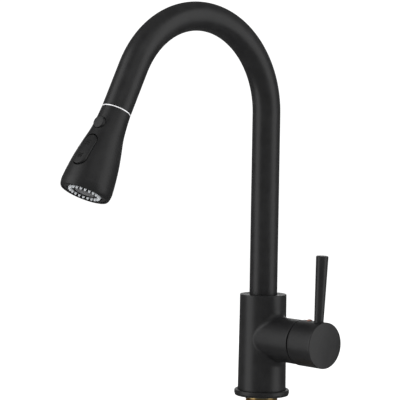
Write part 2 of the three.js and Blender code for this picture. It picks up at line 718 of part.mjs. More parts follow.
function headWaterway() {
  const neck = rod(inletNeck.radius, inletNeck.top, inletNeck.end + OVERCUT, MEDIUM);
  const middle = rod(core.radius, inletNeck.end, core.end + OVERCUT, MEDIUM);
  const plate = headRadius(core.plateFrom) - head.wall - core.platePlay;
  const funnel = turned([
    [0, core.end], [core.radius, core.end], [plate, core.plateFrom], [plate, core.plateEnd],
    [0, core.plateEnd],
  ], FINE);
  const plungerBore = moved(
    alongY(rod(pause.plunger + CLEARANCE, 0, inletNeck.radius + OVERCUT, COARSE)), 0, 0, pause.station,
  );
  const window = block(
    [-rocker.tailWidth / 2 - CLEARANCE, rocker.tailWidth / 2 + CLEARANCE],
    [spool.offset - spool.radius, core.radius + OVERCUT],
    [rocker.station - rocker.tailHeight, rocker.station + rocker.tailHeight],
  );
  const spoolBore = rod(spool.radius + CLEARANCE, spool.from - spool.end, core.plateEnd + OVERCUT, COARSE);
  const mainBore = rod(core.bore, inletNeck.end - OVERCUT, core.plateEnd + OVERCUT, SMALL);
  return cut(
    join(neck, middle, funnel),
    rod(checkValve.radius + CLEARANCE, inletNeck.top - OVERCUT, inletNeck.end, COARSE),
    plungerBore,
    window,
    moved(spoolBore, 0, spool.offset, 0),
    moved(mainBore, 0, -core.boreOffset, 0),
  );
}

function diverterSpool() {
  const shaft = moved(rod(spool.radius, spool.from, spool.to, COARSE), 0, spool.offset, 0);
  // The slot follows the rocker's tail, which the rest tilt swings down the head.
  const swing = (rockerPivotRadius - rockerTailEnd) * Math.sin(degrees(-rocker.restTilt));
  const middle = rocker.station + swing;
  const slot = block(
    [-spool.radius - OVERCUT, spool.radius + OVERCUT],
    [spool.offset + spool.radius - spool.slotDepth, spool.offset + spool.radius + OVERCUT],
    [middle - rocker.tailHeight / 2 - spool.play, middle + rocker.tailHeight / 2 + spool.play],
  );
  return cut(shaft, slot);
}

// The rocker in its level position, about its own pivot.
function rockerButton() {
  const reach = rocker.halfLength + OVERCUT;
  const [from, to] = [rocker.station - reach, rocker.station + reach];
  const cap = ovalPrism(rocker.halfLength, rocker.halfWidth, rocker.station, 0, outside(to))
    .intersect(headOutside(rocker.proud, from, to))
    .subtract(headOutside(rocker.proud - rocker.thickness, from - OVERCUT, to + OVERCUT));
  const half = rocker.tailWidth / 2;
  const tail = block(
    [-half, half], [rockerTailEnd, rockerPivotRadius + OVERCUT],
    [rocker.station - rocker.tailHeight / 2, rocker.station + rocker.tailHeight / 2],
  );
  const knuckle = headAcross(rockerPin.radius + rocker.knuckleWall, half + rocker.knuckleWall);
  const pinBore = headAcross(rockerPin.radius + CLEARANCE, rocker.halfWidth + OVERCUT);
  return moved(cut(join(cap, tail, knuckle), pinBore), 0, -rockerPivotRadius, -rocker.station);
}

function pauseButton() {
  const top = headRadius(pause.station) + pause.proud;
  const cap = alongY(turned([
    [0, top - pause.thickness], [pause.radius, top - pause.thickness], [pause.radius, top - pause.edge],
    [pause.radius - pause.edge, top], [0, top],
  ], MEDIUM));
  const plunger = alongY(rod(pause.plunger, pause.plungerTo, top - pause.thickness + OVERCUT, COARSE));
  return moved(join(cap, plunger), 0, 0, pause.station);
}

function pauseReturnSpring() {
  const from = inletNeck.radius + pauseSpring.endGap;
  const to = headRadius(pause.station) + pause.proud - pause.thickness - pauseSpring.endGap;
  const points = [];
  const tangents = [];
  const perTurn = 10;
  const steps = pauseSpring.turns * perTurn;
  const rise = to - from;
  const slope = rise / (2 * Math.PI * pauseSpring.turns * pauseSpring.radius);
  for (let i = 0; i <= steps; i++) {
    const angle = (i / perTurn) * 2 * Math.PI;
    const [c, s] = [Math.cos(angle), Math.sin(angle)];
    const height = from + (rise * i) / steps;
    points.push(new THREE.Vector3(pauseSpring.radius * c, height, pauseSpring.radius * s));
    tangents.push(new THREE.Vector3(-s, slope, c).normalize());
  }
  const coil = swept(circleShape(pauseSpring.wire), new StationPath(points, tangents), 6);
  return moved(coil, 0, 0, pause.station);
}

const nozzleInner = aerator.radius + 2 * CLEARANCE + nozzles.gapToAerator;

function sprayFace() {
  const disc = rod(faceRadius, face.from, face.end, FINE);
  const [outer, inner] = [nozzleInner + nozzles.width + CLEARANCE, nozzleInner - CLEARANCE];
  const groove = ring(outer, inner, face.grooveFrom, face.end + OVERCUT, FINE);
  return cut(disc, groove, rod(aerator.radius + CLEARANCE, face.from - OVERCUT, face.end + OVERCUT, FINE));
}

function nozzleRing() {
  let solid = ring(nozzleInner + nozzles.width, nozzleInner, face.grooveFrom + CLEARANCE, face.end, FINE);
  const circle = nozzleInner + nozzles.width / 2;
  for (let i = 0; i < nozzles.count; i++) {
    const angle = (2 * Math.PI * i) / nozzles.count;
    const nib = rod(nozzles.root, face.end - nozzles.height, face.end + nozzles.height, 6, nozzles.radius);
    solid = solid.add(moved(nib, circle * Math.cos(angle), circle * Math.sin(angle), 0));
  }
  return solid;
}

function aeratorHousing() {
  return ring(aerator.radius, aerator.radius - aerator.wall, aerator.from, aerator.end, MEDIUM);
}

function aeratorMesh() {
  const radius = aerator.radius - aerator.wall - CLEARANCE;
  let disc = rod(radius, aerator.meshAt, aerator.meshAt + aerator.mesh, MEDIUM);
  const hole = rod(aerator.hole, aerator.meshAt - OVERCUT, aerator.meshAt + aerator.mesh + OVERCUT, 6);
  for (let i = 0; i < aerator.holes; i++) {
    const angle = (2 * Math.PI * i) / aerator.holes;
    const [across, over] = [Math.cos(angle) * aerator.holeCircle, Math.sin(angle) * aerator.holeCircle];
    disc = disc.subtract(moved(hole, across, over, 0));
  }
  return disc;
}

function faceSealRing() {
  const between = (core.plateEnd + face.from) / 2;
  return torus(faceRadius - faceSeal.inset, faceSeal.radius, between);
}

// ---- assembly ----
function group(position, [tilt, turn], ...children) {
  const made = new THREE.Group();
  made.position.copy(position);
  made.rotation.set(tilt, 0, turn);
  made.add(...children);
  return made;
}

const faucet = new THREE.Group();
faucet.add(
  toMesh("deck_gasket", deckGasket(), rubber),
  toMesh("base_flange", baseFlange(), matteBlack),
  toMesh("faucet_body", faucetBody(), matteBlack),
  toMesh("mounting_shank", mountingShank(), brass),
  toMesh("clamp_gasket", clampRing(clampGasket, clampTop), rubber),
  toMesh("clamp_washer", clampRing(clampWasher, washerTop), steel),
  toMesh("mounting_nut", mountingNut(), brass),
  toMesh("valve_manifold", valveManifold(), brass),
  toMesh("inlet_hot", pipeNipple(nipple.inletX, nipple.spread), brass),
  toMesh("inlet_cold", pipeNipple(nipple.inletX, -nipple.spread), brass),
  toMesh("hose_outlet", pipeNipple(nipple.outletX, 0), brass),

  toMesh("cartridge_seal", cartridgeSeal(), rubber),
  toMesh("cartridge_housing", cartridgeHousing(), whitePlastic),
  toMesh("fixed_disc", fixedDisc(), ceramic),
  toMesh("moving_disc", movingDisc(), ceramic),
  toMesh("disc_carrier", discCarrier(), whitePlastic),
  toMesh("cartridge_turntable", cartridgeTurntable(), whitePlastic),
  toMesh("stem_pivot_pin", pivotRod(stem.pinRadius, cartridge.neckRadius - stem.pinInset), steel),
  toMesh("valve_stem", valveStem(), brass),
  toMesh("bonnet_nut", bonnetNut(), brass),

  toMesh("handle_hub", handleHub(), matteBlack),
  toMesh("handle_lever", handleLever(), matteBlack),
  toMesh("handle_set_screw", handleSetScrew(), steel),
  toMesh("temperature_dot", temperatureDot(), redBlue),

  toMesh("spout_bush_lower", spoutBush(tubeFoot, bush.lower), greyPlastic),
  toMesh("spout_bush_upper", spoutBush(body.top - CLEARANCE - bush.upper, bush.upper), blackPlastic),
  toMesh("spout_seal_ring", spoutSealRing(), rubber),
  toMesh("spout_set_screw", spoutSetScrew(), steel),
  toMesh("spout_tube", spoutTube(), matteBlack),
  toMesh("spray_hose", sprayHose(-hose.headClearance), braid),
);

const rockerMesh = toMesh("rocker_button", rockerButton(), blackPlastic);
const rockerPivot = new THREE.Vector3(0, rockerPivotRadius, rocker.station);
faucet.add(
  group(
    mouth,
    [bendAngle, 0],
    toMesh("docking_collar", dockingCollar(), greyPlastic),
    toMesh("seam_ring", seamRing(), brightRing),
  ),
  group(
    mouth,
    [bendAngle, degrees(-head.turn)],
    toMesh("dock_spigot", dockSpigot(), greyPlastic),
    toMesh("hose_connector", hoseConnector(), brass),
    toMesh("check_valve", checkValveCartridge(), whitePlastic),
    toMesh("head_shell", headShell(), blackPlastic),
    toMesh("head_waterway", headWaterway(), greyPlastic),
    toMesh("diverter_spool", diverterSpool(), whitePlastic),
    group(rockerPivot, [degrees(rocker.restTilt), 0], rockerMesh),
    toMesh("rocker_pin", headAcross(rockerPin.radius, pinHalf), steel),
    toMesh("pause_button", pauseButton(), blackPlastic),
    toMesh("pause_spring", pauseReturnSpring(), steel),
    toMesh("spray_face", sprayFace(), blackPlastic),
    toMesh("nozzle_ring", nozzleRing(), clearSilicone),
    toMesh("aerator_housing", aeratorHousing(), greyPlastic),
    toMesh("aerator_mesh", aeratorMesh(), blackPlastic),
    toMesh("face_seal_ring", faceSealRing(), rubber),
  ),
);

export default faucet;
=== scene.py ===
"""Builds the looks of a pull-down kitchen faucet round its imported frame."""

import json
import logging
import math
from collections.abc import Iterable, Sequence
from dataclasses import dataclass, field
from enum import Enum

import bmesh
import bpy
from mathutils import Matrix, Quaternion, Vector


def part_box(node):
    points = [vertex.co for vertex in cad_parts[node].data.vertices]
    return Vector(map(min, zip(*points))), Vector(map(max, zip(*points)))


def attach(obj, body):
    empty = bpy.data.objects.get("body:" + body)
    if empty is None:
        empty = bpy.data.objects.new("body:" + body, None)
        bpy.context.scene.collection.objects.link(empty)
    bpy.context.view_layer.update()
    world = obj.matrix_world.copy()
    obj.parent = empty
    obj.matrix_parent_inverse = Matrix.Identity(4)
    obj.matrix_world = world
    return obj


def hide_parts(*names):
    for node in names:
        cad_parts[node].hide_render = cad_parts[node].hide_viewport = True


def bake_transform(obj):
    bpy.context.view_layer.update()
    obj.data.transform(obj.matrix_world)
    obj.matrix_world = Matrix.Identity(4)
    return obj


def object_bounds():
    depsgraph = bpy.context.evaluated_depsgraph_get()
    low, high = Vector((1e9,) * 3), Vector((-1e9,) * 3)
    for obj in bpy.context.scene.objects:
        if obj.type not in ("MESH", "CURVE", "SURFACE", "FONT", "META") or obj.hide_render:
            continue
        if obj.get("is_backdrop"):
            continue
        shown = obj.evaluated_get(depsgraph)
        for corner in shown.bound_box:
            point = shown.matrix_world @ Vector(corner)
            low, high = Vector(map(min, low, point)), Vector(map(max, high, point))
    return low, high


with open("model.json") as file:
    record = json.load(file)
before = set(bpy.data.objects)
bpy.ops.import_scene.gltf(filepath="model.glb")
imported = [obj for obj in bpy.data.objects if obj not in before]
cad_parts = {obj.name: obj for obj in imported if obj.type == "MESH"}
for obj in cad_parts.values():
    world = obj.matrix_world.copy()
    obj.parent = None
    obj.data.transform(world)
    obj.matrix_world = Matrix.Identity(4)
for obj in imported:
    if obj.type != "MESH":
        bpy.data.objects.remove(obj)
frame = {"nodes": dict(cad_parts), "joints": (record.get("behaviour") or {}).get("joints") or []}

LOG = logging.getLogger("faucet")
MM = 0.001
TAU = 2 * math.pi
NEAR = 0.02 * MM  # how close a vertex is to a place that it counts as being at
FINE = 128  # steps round a large turned piece
MEDIUM = 64
COARSE = 32

BMesh = bmesh.types.BMesh
Mesh = bpy.types.Mesh
Object = bpy.types.Object
Colour = tuple[float, float, float]


class Body(Enum):
    """The frame's moving bodies that carry a piece of this script."""

    BASE = "base"
    HANDLE = "handle"
    SPOUT = "spout"
    HEAD = "spray_head"
    ROCKER = "rocker"
    PAUSE = "pause"


class Slot(Enum):
    """The record's material slots."""

    PAINT = "matte_black_metal"
    BLACK = "black_plastic"
    GREY = "grey_plastic"
    WHITE = "white_plastic"
    RUBBER = "black_rubber"
    STEEL = "steel"
    BRASS = "brass"
    CERAMIC = "ceramic"
    BRIGHT = "bright_ring"
    SILICONE = "clear_silicone"
    DOT = "red_blue"
    BRAID = "hose_braid"


class Join(Enum):
    """How one solid is combined with another."""

    ADD = "UNION"
    REMOVE = "DIFFERENCE"


# ---- finishes ----
class Graph:
    """A material's node graph, with its shader already joined to its output."""

    def __init__(self, name: str) -> None:
        """Starts the graph.

        Args:
            name: The material's name.
        """
        self.material = bpy.data.materials.new(name)
        self.material.use_nodes = True
        self.tree = self.material.node_tree
        self.tree.nodes.clear()
        output = self.tree.nodes.new("ShaderNodeOutputMaterial")
        self.shader = self.tree.nodes.new("ShaderNodeBsdfPrincipled")
        self.tree.links.new(self.shader.outputs["BSDF"], output.inputs["Surface"])

    def node(self, kind: str, **inputs: object) -> bpy.types.Node:
        """Adds a node.

        Args:
            kind: The node's type.
            inputs: Values for its input sockets, by name with underscores for spaces.

        Returns:
            The node.
        """
        made = self.tree.nodes.new(kind)
        for name, value in inputs.items():
            made.inputs[name.replace("_", " ")].default_value = value
        return made

    def link(self, source: bpy.types.NodeSocket, target: bpy.types.NodeSocket) -> None:
        """Joins one socket to another."""
        self.tree.links.new(source, target)

    def place(self, stretch: Colour = (1, 1, 1)) -> bpy.types.NodeSocket:
        """Object coordinates, scaled along each axis.

        Args:
            stretch: The scale along X, Y and Z.

        Returns:
            The vector socket.
        """
        coordinates = self.tree.nodes.new("ShaderNodeTexCoord")
        mapping = self.node("ShaderNodeMapping", Scale=stretch)
        self.link(coordinates.outputs["Object"], mapping.inputs["Vector"])
        return mapping.outputs["Vector"]

    def noise(
        self, scale: float, detail: float = 3, stretch: Colour = (1, 1, 1)
    ) -> bpy.types.NodeSocket:
        """Noise on object coordinates.

        Args:
            scale: Features in a metre.
            detail: How many finer layers it has.
            stretch: The scale along X, Y and Z.

        Returns:
            The noise's value socket.
        """
        made = self.node("ShaderNodeTexNoise", Scale=scale, Detail=detail)
        self.link(self.place(stretch), made.inputs["Vector"])
        return made.outputs["Fac"]

    def between(
        self, value: bpy.types.NodeSocket, low: float, high: float
    ) -> bpy.types.NodeSocket:
        """Spreads the middle of a noise over a range.

        Args:
            value: The noise.
            low: What the range starts at.
            high: What the range ends at.

        Returns:
            The ranged value's socket.
        """
        made = self.node(
            "ShaderNodeMapRange", From_Min=0.3, From_Max=0.7, To_Min=low, To_Max=high
        )
        self.link(value, made.inputs["Value"])
        return made.outputs["Result"]

    def colours(
        self, value: bpy.types.NodeSocket, *stops: tuple[float, Colour]
    ) -> bpy.types.NodeSocket:
        """A colour that runs through stops.

        Args:
            value: What drives it.
            stops: Each stop's place and colour.

        Returns:
            The colour's socket.
        """
        ramp = self.tree.nodes.new("ShaderNodeValToRGB")
        points = ramp.color_ramp.elements
        while len(points) < len(stops):
            points.new(0.5)
        for point, (at, colour) in zip(points, stops):
            point.position = at
            point.color = (*colour, 1)
        self.link(value, ramp.inputs["Fac"])
        return ramp.outputs["Color"]

    def math(
        self, operation: str, first: object, second: object = 0.0
    ) -> bpy.types.NodeSocket:
        """Arithmetic on one or two sockets or numbers.

        Args:
            operation: The Math node's operation.
            first: A socket or a number.
            second: A socket or a number.

        Returns:
            The result's socket.
        """
        made = self.tree.nodes.new("ShaderNodeMath")
        made.operation = operation
        for socket, value in zip(made.inputs, (first, second)):
            if isinstance(value, bpy.types.NodeSocket):
                self.link(value, socket)
            else:
                socket.default_value = value
        return made.outputs["Value"]

    def bump(self, *layers: tuple[bpy.types.NodeSocket, float]) -> None:
        """Raises the surface.

        Args:
            layers: Each height socket, with its full height in metres.
        """
        below = None
        for height, distance in layers:
            made = self.node("ShaderNodeBump", Strength=1.0, Distance=distance)
            self.link(height, made.inputs["Height"])
            if below:
                self.link(below, made.inputs["Normal"])
            below = made.outputs["Normal"]
        self.link(below, self.shader.inputs["Normal"])


@dataclass(frozen=True)
class Finish:
    """A surface with mottled colour, uneven gloss and a fine texture."""

    name: str
    slot: Slot
    dark: Colour
    light: Colour
    matt: tuple[float, float]  # the least and most roughness
    metallic: float = 0.0
    mottle: float = 90.0  # colour patches in a metre
    grain: float = 2600.0  # texture features in a metre
    grain_height: float = 0.01 * MM
    wave_height: float = 0.0  # of the long, slow unevenness
    stretch: Colour = (1, 1, 1)
    sockets: tuple[tuple[str, float], ...] = ()

    def build(self) -> bpy.types.Material:
        """Makes the material, or finds it if it is made already."""
        found = bpy.data.materials.get(self.name)
        if found:
            return found
        graph = Graph(self.name)
        graph.shader.inputs["Metallic"].default_value = self.metallic
        for name, value in self.sockets:
            graph.shader.inputs[name].default_value = value
        self.paint(graph)
        return graph.material

    def paint(self, graph: Graph) -> None:
        """Joins the colour, gloss and texture.

        Args:
            graph: The material's graph.
        """
        patches = graph.noise(self.mottle)
        fine = graph.noise(self.grain, 2, self.stretch)
        colour = graph.colours(patches, (0.3, self.dark), (0.7, self.light))
        graph.link(colour, graph.shader.inputs["Base Color"])
        gloss = graph.math(
            "ADD", graph.math("MULTIPLY", patches, 0.5), graph.math("MULTIPLY", fine, 0.5)
        )
        graph.link(graph.between(gloss, *self.matt), graph.shader.inputs["Roughness"])
        layers = [(fine, self.grain_height)]
        if self.wave_height:
            layers.append((graph.noise(self.mottle * 2, 1), self.wave_height))
        graph.bump(*layers)


@dataclass(frozen=True)
class HalfDot(Finish):
    """An enamelled dot, one colour for hot on one side of its middle and another for cold."""

    cold: Colour = (0.06, 0.075, 0.09)

    def paint(self, graph: Graph) -> None:
        """Adds the two halves to the plain finish.

        Args:
            graph: The material's graph.
        """
        super().paint(graph)
        split = graph.tree.nodes.new("ShaderNodeSeparateXYZ")
        graph.link(graph.place(), split.inputs["Vector"])
        side = graph.math("GREATER_THAN", split.outputs["Y"], 0.0)
        colour = graph.colours(side, (0.0, self.light), (1.0, self.cold))
        graph.link(colour, graph.shader.inputs["Base Color"])


@dataclass(frozen=True)
class Braid(Finish):
    """A woven sleeve, which follows the hose's own map."""

    strands: float = 16
    map_name: str = "braid"

    def paint(self, graph: Graph) -> None:
        """Joins the weave's colour, gloss and height. Its colour is darker where the weave lies low:
        painted shade between the strands.

        Args:
            graph: The material's graph.
        """
        source = graph.tree.nodes.new("ShaderNodeUVMap")
        source.uv_map = self.map_name
        split = graph.tree.nodes.new("ShaderNodeSeparateXYZ")
        graph.link(source.outputs["UV"], split.inputs["Vector"])
        around = graph.math("MULTIPLY", split.outputs["X"], math.pi * self.strands)
        along = graph.math("MULTIPLY", split.outputs["Y"], math.pi)
        right = graph.math("SINE", graph.math("ADD", around, along))
        left = graph.math("SINE", graph.math("SUBTRACT", around, along))
        over = graph.math("GREATER_THAN", graph.math("MULTIPLY", right, left), 0.0)
        under = graph.math("SUBTRACT", 1.0, over)
        height = graph.math(
            "ADD",
            graph.math("MULTIPLY", graph.math("ABSOLUTE", right), over),
            graph.math("MULTIPLY", graph.math("ABSOLUTE", left), under),
        )
        # Painted shade: the colour runs dark in the low places between strands and light on their tops.
        colour = graph.colours(height, (0.1, self.dark), (0.8, self.light))
        graph.link(colour, graph.shader.inputs["Base Color"])
        graph.link(graph.between(height, *self.matt), graph.shader.inputs["Roughness"])
        graph.bump((height, 0.25 * MM), (graph.noise(self.grain), self.grain_height))


PAINT = Finish(
    "satin_black_paint", Slot.PAINT, (0.0085, 0.0085, 0.009), (0.013, 0.013, 0.0137), (0.34, 0.44),
    grain=2300, grain_height=0.012 * MM, wave_height=0.004 * MM,
    sockets=(("Coat Weight", 0.12), ("Coat Roughness", 0.5)),
)
BLACK = Finish(
    "black_moulded_plastic", Slot.BLACK, (0.0085, 0.0085, 0.009), (0.0125, 0.0125, 0.013), (0.36, 0.47),
    grain=3200, grain_height=0.014 * MM,
)
SHINY_BLACK = Finish(
    "polished_black_plastic", Slot.BLACK, (0.006, 0.006, 0.0065), (0.009, 0.009, 0.0095), (0.2, 0.28),
    grain=3200, grain_height=0.004 * MM,
)
# Painted shade: the raised marks are coloured near black, darker than the cap, in place of the shade
# that engraved marks hold.
ICON = Finish(
    "button_mark_painted_shade", Slot.BLACK, (0.002, 0.002, 0.002), (0.003, 0.003, 0.003), (0.7, 0.8), grain=4000,
)
GREY = Finish(
    "grey_moulded_plastic", Slot.GREY, (0.12, 0.12, 0.125), (0.17, 0.17, 0.175), (0.38, 0.5),
    grain_height=0.012 * MM,
)
WHITE = Finish(
    "white_moulded_plastic", Slot.WHITE, (0.68, 0.68, 0.65), (0.78, 0.78, 0.76), (0.32, 0.44),
    grain_height=0.008 * MM, sockets=(("Subsurface Weight", 0.08),),
)
RUBBER = Finish(
    "black_rubber", Slot.RUBBER, (0.010, 0.010, 0.010), (0.020, 0.020, 0.019), (0.6, 0.78),
    mottle=240, grain=1800, grain_height=0.02 * MM,
)
STEEL = Finish(
    "turned_stainless_steel", Slot.STEEL, (0.42, 0.42, 0.43), (0.56, 0.56, 0.57), (0.24, 0.38),
    metallic=1.0, grain=420, grain_height=0.006 * MM, stretch=(1, 1, 12),
)
BRASS = Finish(
    "machined_brass", Slot.BRASS, (0.55, 0.38, 0.15), (0.72, 0.53, 0.24), (0.26, 0.42),
    metallic=1.0, mottle=130, grain=500, grain_height=0.006 * MM, stretch=(1, 1, 10),
)
CERAMIC = Finish(
    "white_ceramic", Slot.CERAMIC, (0.74, 0.73, 0.69), (0.84, 0.83, 0.8), (0.12, 0.2),
    grain_height=0.002 * MM,
)
# The pale tone is the plating's own, but its brightness is put in as near-white colour with little
# metal: a painted reflection.
BRIGHT = Finish(
    "seam_plating_painted_reflection", Slot.BRIGHT, (0.83, 0.83, 0.84), (0.92, 0.92, 0.93), (0.2, 0.3),
    metallic=0.25, grain_height=0.002 * MM,
)
SILICONE = Finish(
    "clear_silicone", Slot.SILICONE, (0.4, 0.42, 0.42), (0.74, 0.76, 0.76), (0.12, 0.22),
    grain=1500, grain_height=0.01 * MM, sockets=(("Transmission Weight", 0.35), ("IOR", 1.42)),
)
WEB = Finish(
    "silicone_over_black", Slot.SILICONE, (0.02, 0.021, 0.022), (0.08, 0.082, 0.085), (0.2, 0.34),
    mottle=420, grain=1500, grain_height=0.02 * MM,
)
DOT = HalfDot(
    "hot_and_cold_enamel", Slot.DOT, (0.22, 0.11, 0.085), (0.3, 0.155, 0.12), (0.12, 0.2),
    grain_height=0.003 * MM, sockets=(("Coat Weight", 0.6), ("Coat Roughness", 0.08)),
)
# The dark end of this braid's colour is painted shade in the low places of the weave.
BRAID = Braid(
    "nylon_braid", Slot.BRAID, (0.012, 0.012, 0.013), (0.06, 0.06, 0.064), (0.5, 0.34),
    grain=5000, grain_height=0.01 * MM,
)


# ---- shapes ----
@dataclass(frozen=True)
class Corner:
    """One corner of a turned outline, in millimetres."""

    radius: float
    height: float
    round: float = 0.0


def turned(corners: Sequence[Corner], steps: int = FINE) -> BMesh:
    """Spins a closed outline round Z and rounds the corners that ask for it.

    Args:
        corners: The outline, in order. Two of them may stand on the axis.
        steps: Steps in a full turn.

    Returns:
        The closed solid.
    """
    made = bmesh.new()
    verts = [made.verts.new((c.radius * MM, 0, c.height * MM)) for c in corners]
    for here, there in zip(verts, verts[1:] + verts[:1]):
        if here.co.x > NEAR or there.co.x > NEAR:
            made.edges.new((here, there))
    bmesh.ops.spin(
        made, geom=made.verts[:] + made.edges[:], cent=(0, 0, 0), axis=(0, 0, 1), dvec=(0, 0, 0),
        angle=TAU, steps=steps, use_merge=True, use_normal_flip=False, use_duplicate=False,
    )
    bmesh.ops.remove_doubles(made, verts=made.verts[:], dist=NEAR / 10)
    bmesh.ops.recalc_face_normals(made, faces=made.faces[:])
    for corner in corners:
        if corner.round:
            soften(made, ring_at(made, corner), corner.round)
    return made


def ring_at(shape: BMesh, corner: Corner) -> list[bmesh.types.BMEdge]:
    """The edges that run round Z at a corner of the outline."""
    def there(vert: bmesh.types.BMVert) -> bool:
        """Whether a vertex is at the corner."""
        off = math.hypot(vert.co.x, vert.co.y) - corner.radius * MM
        return abs(off) < NEAR and abs(vert.co.z - corner.height * MM) < NEAR

    return [e for e in shape.edges if there(e.verts[0]) and there(e.verts[1])]


def soften(
    shape: BMesh, edges: list[bmesh.types.BMEdge], size: float, segments: int = 4
) -> None:
    """Rounds edges.

    Args:
        shape: The solid that they belong to.
        edges: What to round.
        size: How far back the rounding starts, in millimetres.
        segments: Steps across it.
    """
    bmesh.ops.bevel(
        shape, geom=edges, offset=size * MM, offset_type="OFFSET", segments=segments, profile=0.5,
        affect="EDGES", material=-1, clamp_overlap=True,
    )


def rod(radius: float, low: float, high: float, edge: float = 0.0, steps: int = COARSE) -> BMesh:
    """A cylinder on Z, in millimetres, with its rims rounded by edge."""
    return turned(
        [Corner(0, low), Corner(radius, low, edge), Corner(radius, high, edge), Corner(0, high)], steps
    )


def tube(
    outer: float, inner: float, low: float, high: float, edge: float = 0.0, steps: int = FINE
) -> BMesh:
    """A ring on Z, in millimetres, with its outer rims rounded by edge."""
    return turned(
        [Corner(inner, low), Corner(outer, low, edge), Corner(outer, high, edge), Corner(inner, high)],
        steps,
    )


def box(low: Colour, high: Colour) -> BMesh:
    """A block between two corners, in millimetres."""
    made = bmesh.new()
    size = Vector(high) - Vector(low)
    middle = (Vector(high) + Vector(low)) / 2
    shape = Matrix.Translation(middle * MM) @ Matrix.Diagonal((*(size * MM), 1))
    bmesh.ops.create_cube(made, size=1, matrix=shape)
    return made


def moved(shape: BMesh, matrix: Matrix) -> BMesh:
    """The shape, moved in place."""
    bmesh.ops.transform(shape, matrix=matrix, verts=shape.verts[:])
    return shape


def shifted(shape: BMesh, x: float = 0, y: float = 0, z: float = 0) -> BMesh:
    """The shape, moved by millimetres."""
    return moved(shape, Matrix.Translation(Vector((x, y, z)) * MM))


def merged(shapes: Iterable[BMesh]) -> BMesh:
    """Separate shapes as one mesh, which takes them over."""
    made = bmesh.new()
    for shape in shapes:
        held = bpy.data.meshes.new("held")
        shape.to_mesh(held)
        shape.free()
        made.from_mesh(held)
        bpy.data.meshes.remove(held)
    return made


def held_object(shape: BMesh) -> Object:
    """A shape as an object for a while, which takes it over."""
    mesh = bpy.data.meshes.new("held")
    shape.to_mesh(mesh)
    shape.free()
    made = bpy.data.objects.new("held", mesh)
    bpy.context.scene.collection.objects.link(made)
    return made


def combined(first: BMesh, *steps: tuple[Join, BMesh]) -> BMesh:
    """Combines solids, one after another.

    Args:
        first: The solid to start from.
        steps: How each next solid is combined with what there is so far.

    Returns:
        The combined solid. The solids given are used up.
    """
    base = held_object(first)
    tools = []
    for how, shape in steps:
        tool = held_object(shape)
        change = base.modifiers.new("join", "BOOLEAN")
        change.operation = how.value
        change.solver = "EXACT"
        change.object = tool
        tools.append(tool)
    bpy.context.view_layer.update()
    graph = bpy.context.evaluated_depsgraph_get()
    made = bmesh.new()
    made.from_object(base, graph)
    for used in [base, *tools]:
        mesh = used.data
        bpy.data.objects.remove(used)
        bpy.data.meshes.remove(mesh)
    bmesh.ops.remove_doubles(made, verts=made.verts[:], dist=NEAR / 20)
    bmesh.ops.dissolve_degenerate(made, dist=NEAR / 20, edges=made.edges[:])
    return made


def swept(radius: float, frames: Sequence[Matrix], steps: int = COARSE) -> BMesh:
    """A round bar along a path.

    Args:
        radius: The bar's radius, in millimetres.
        frames: The path's places, each with its own Z along the path.
        steps: Steps round the bar.

    Returns:
        The closed bar.
    """
    made = bmesh.new()
    bmesh.ops.create_circle(
        made, cap_ends=False, radius=radius * MM, segments=steps, matrix=frames[0]
    )
    edges, start = made.edges[:], made.edges[:]
    for here, there in zip(frames, frames[1:]):
        grown = bmesh.ops.extrude_edge_only(made, edges=edges)["geom"]
        verts = [g for g in grown if isinstance(g, bmesh.types.BMVert)]
        edges = [
            g for g in grown if isinstance(g, bmesh.types.BMEdge) and all(v in verts for v in g.verts)
        ]
        bmesh.ops.transform(made, matrix=there @ here.inverted(), verts=verts)
    for rim in (start, edges):
        bmesh.ops.edgeloop_fill(made, edges=rim)
    bmesh.ops.recalc_face_normals(made, faces=made.faces[:])
    return made


ALONG_X = Matrix.Rotation(math.pi / 2, 4, "Y")
ALONG_Y = Matrix.Rotation(-math.pi / 2, 4, "X")


def finish_piece(
    name: str,
    shape: BMesh,
    finish: Finish,
    body: Body | None,
    stands_for: Sequence[str] = (),
    sharp: float = 35,
    weigh: bool = True,
) -> Object:
    """Makes a shape one of the faucet's visible pieces.

    Args:
        name: The piece's name.
        shape: Its mesh, which is used up.
        finish: Its surface.
        body: The body that carries it, or None for a piece that no body carries.
        stands_for: The frame's nodes that it is shown in place of.
        sharp: The angle in degrees from which an edge is shown sharp.
        weigh: Whether flat faces keep their shading flat beside rounded edges.

    Returns:
        The piece.
    """
    mesh = bpy.data.meshes.new(name)
    for face in shape.faces:
        face.smooth = True
    shape.to_mesh(mesh)
    shape.free()
    mesh.set_sharp_from_angle(angle=math.radians(sharp))
    mesh.materials.append(finish.build())
    made = bpy.data.objects.new(name, mesh)
    bpy.context.scene.collection.objects.link(made)
    if weigh:
        shading = made.modifiers.new("shading", "WEIGHTED_NORMAL")
        shading.keep_sharp = True
    if stands_for:
        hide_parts(*stands_for)
    if body:
        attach(made, body.value)
    LOG.info("%s: %d faces", name, len(mesh.polygons))
    return made


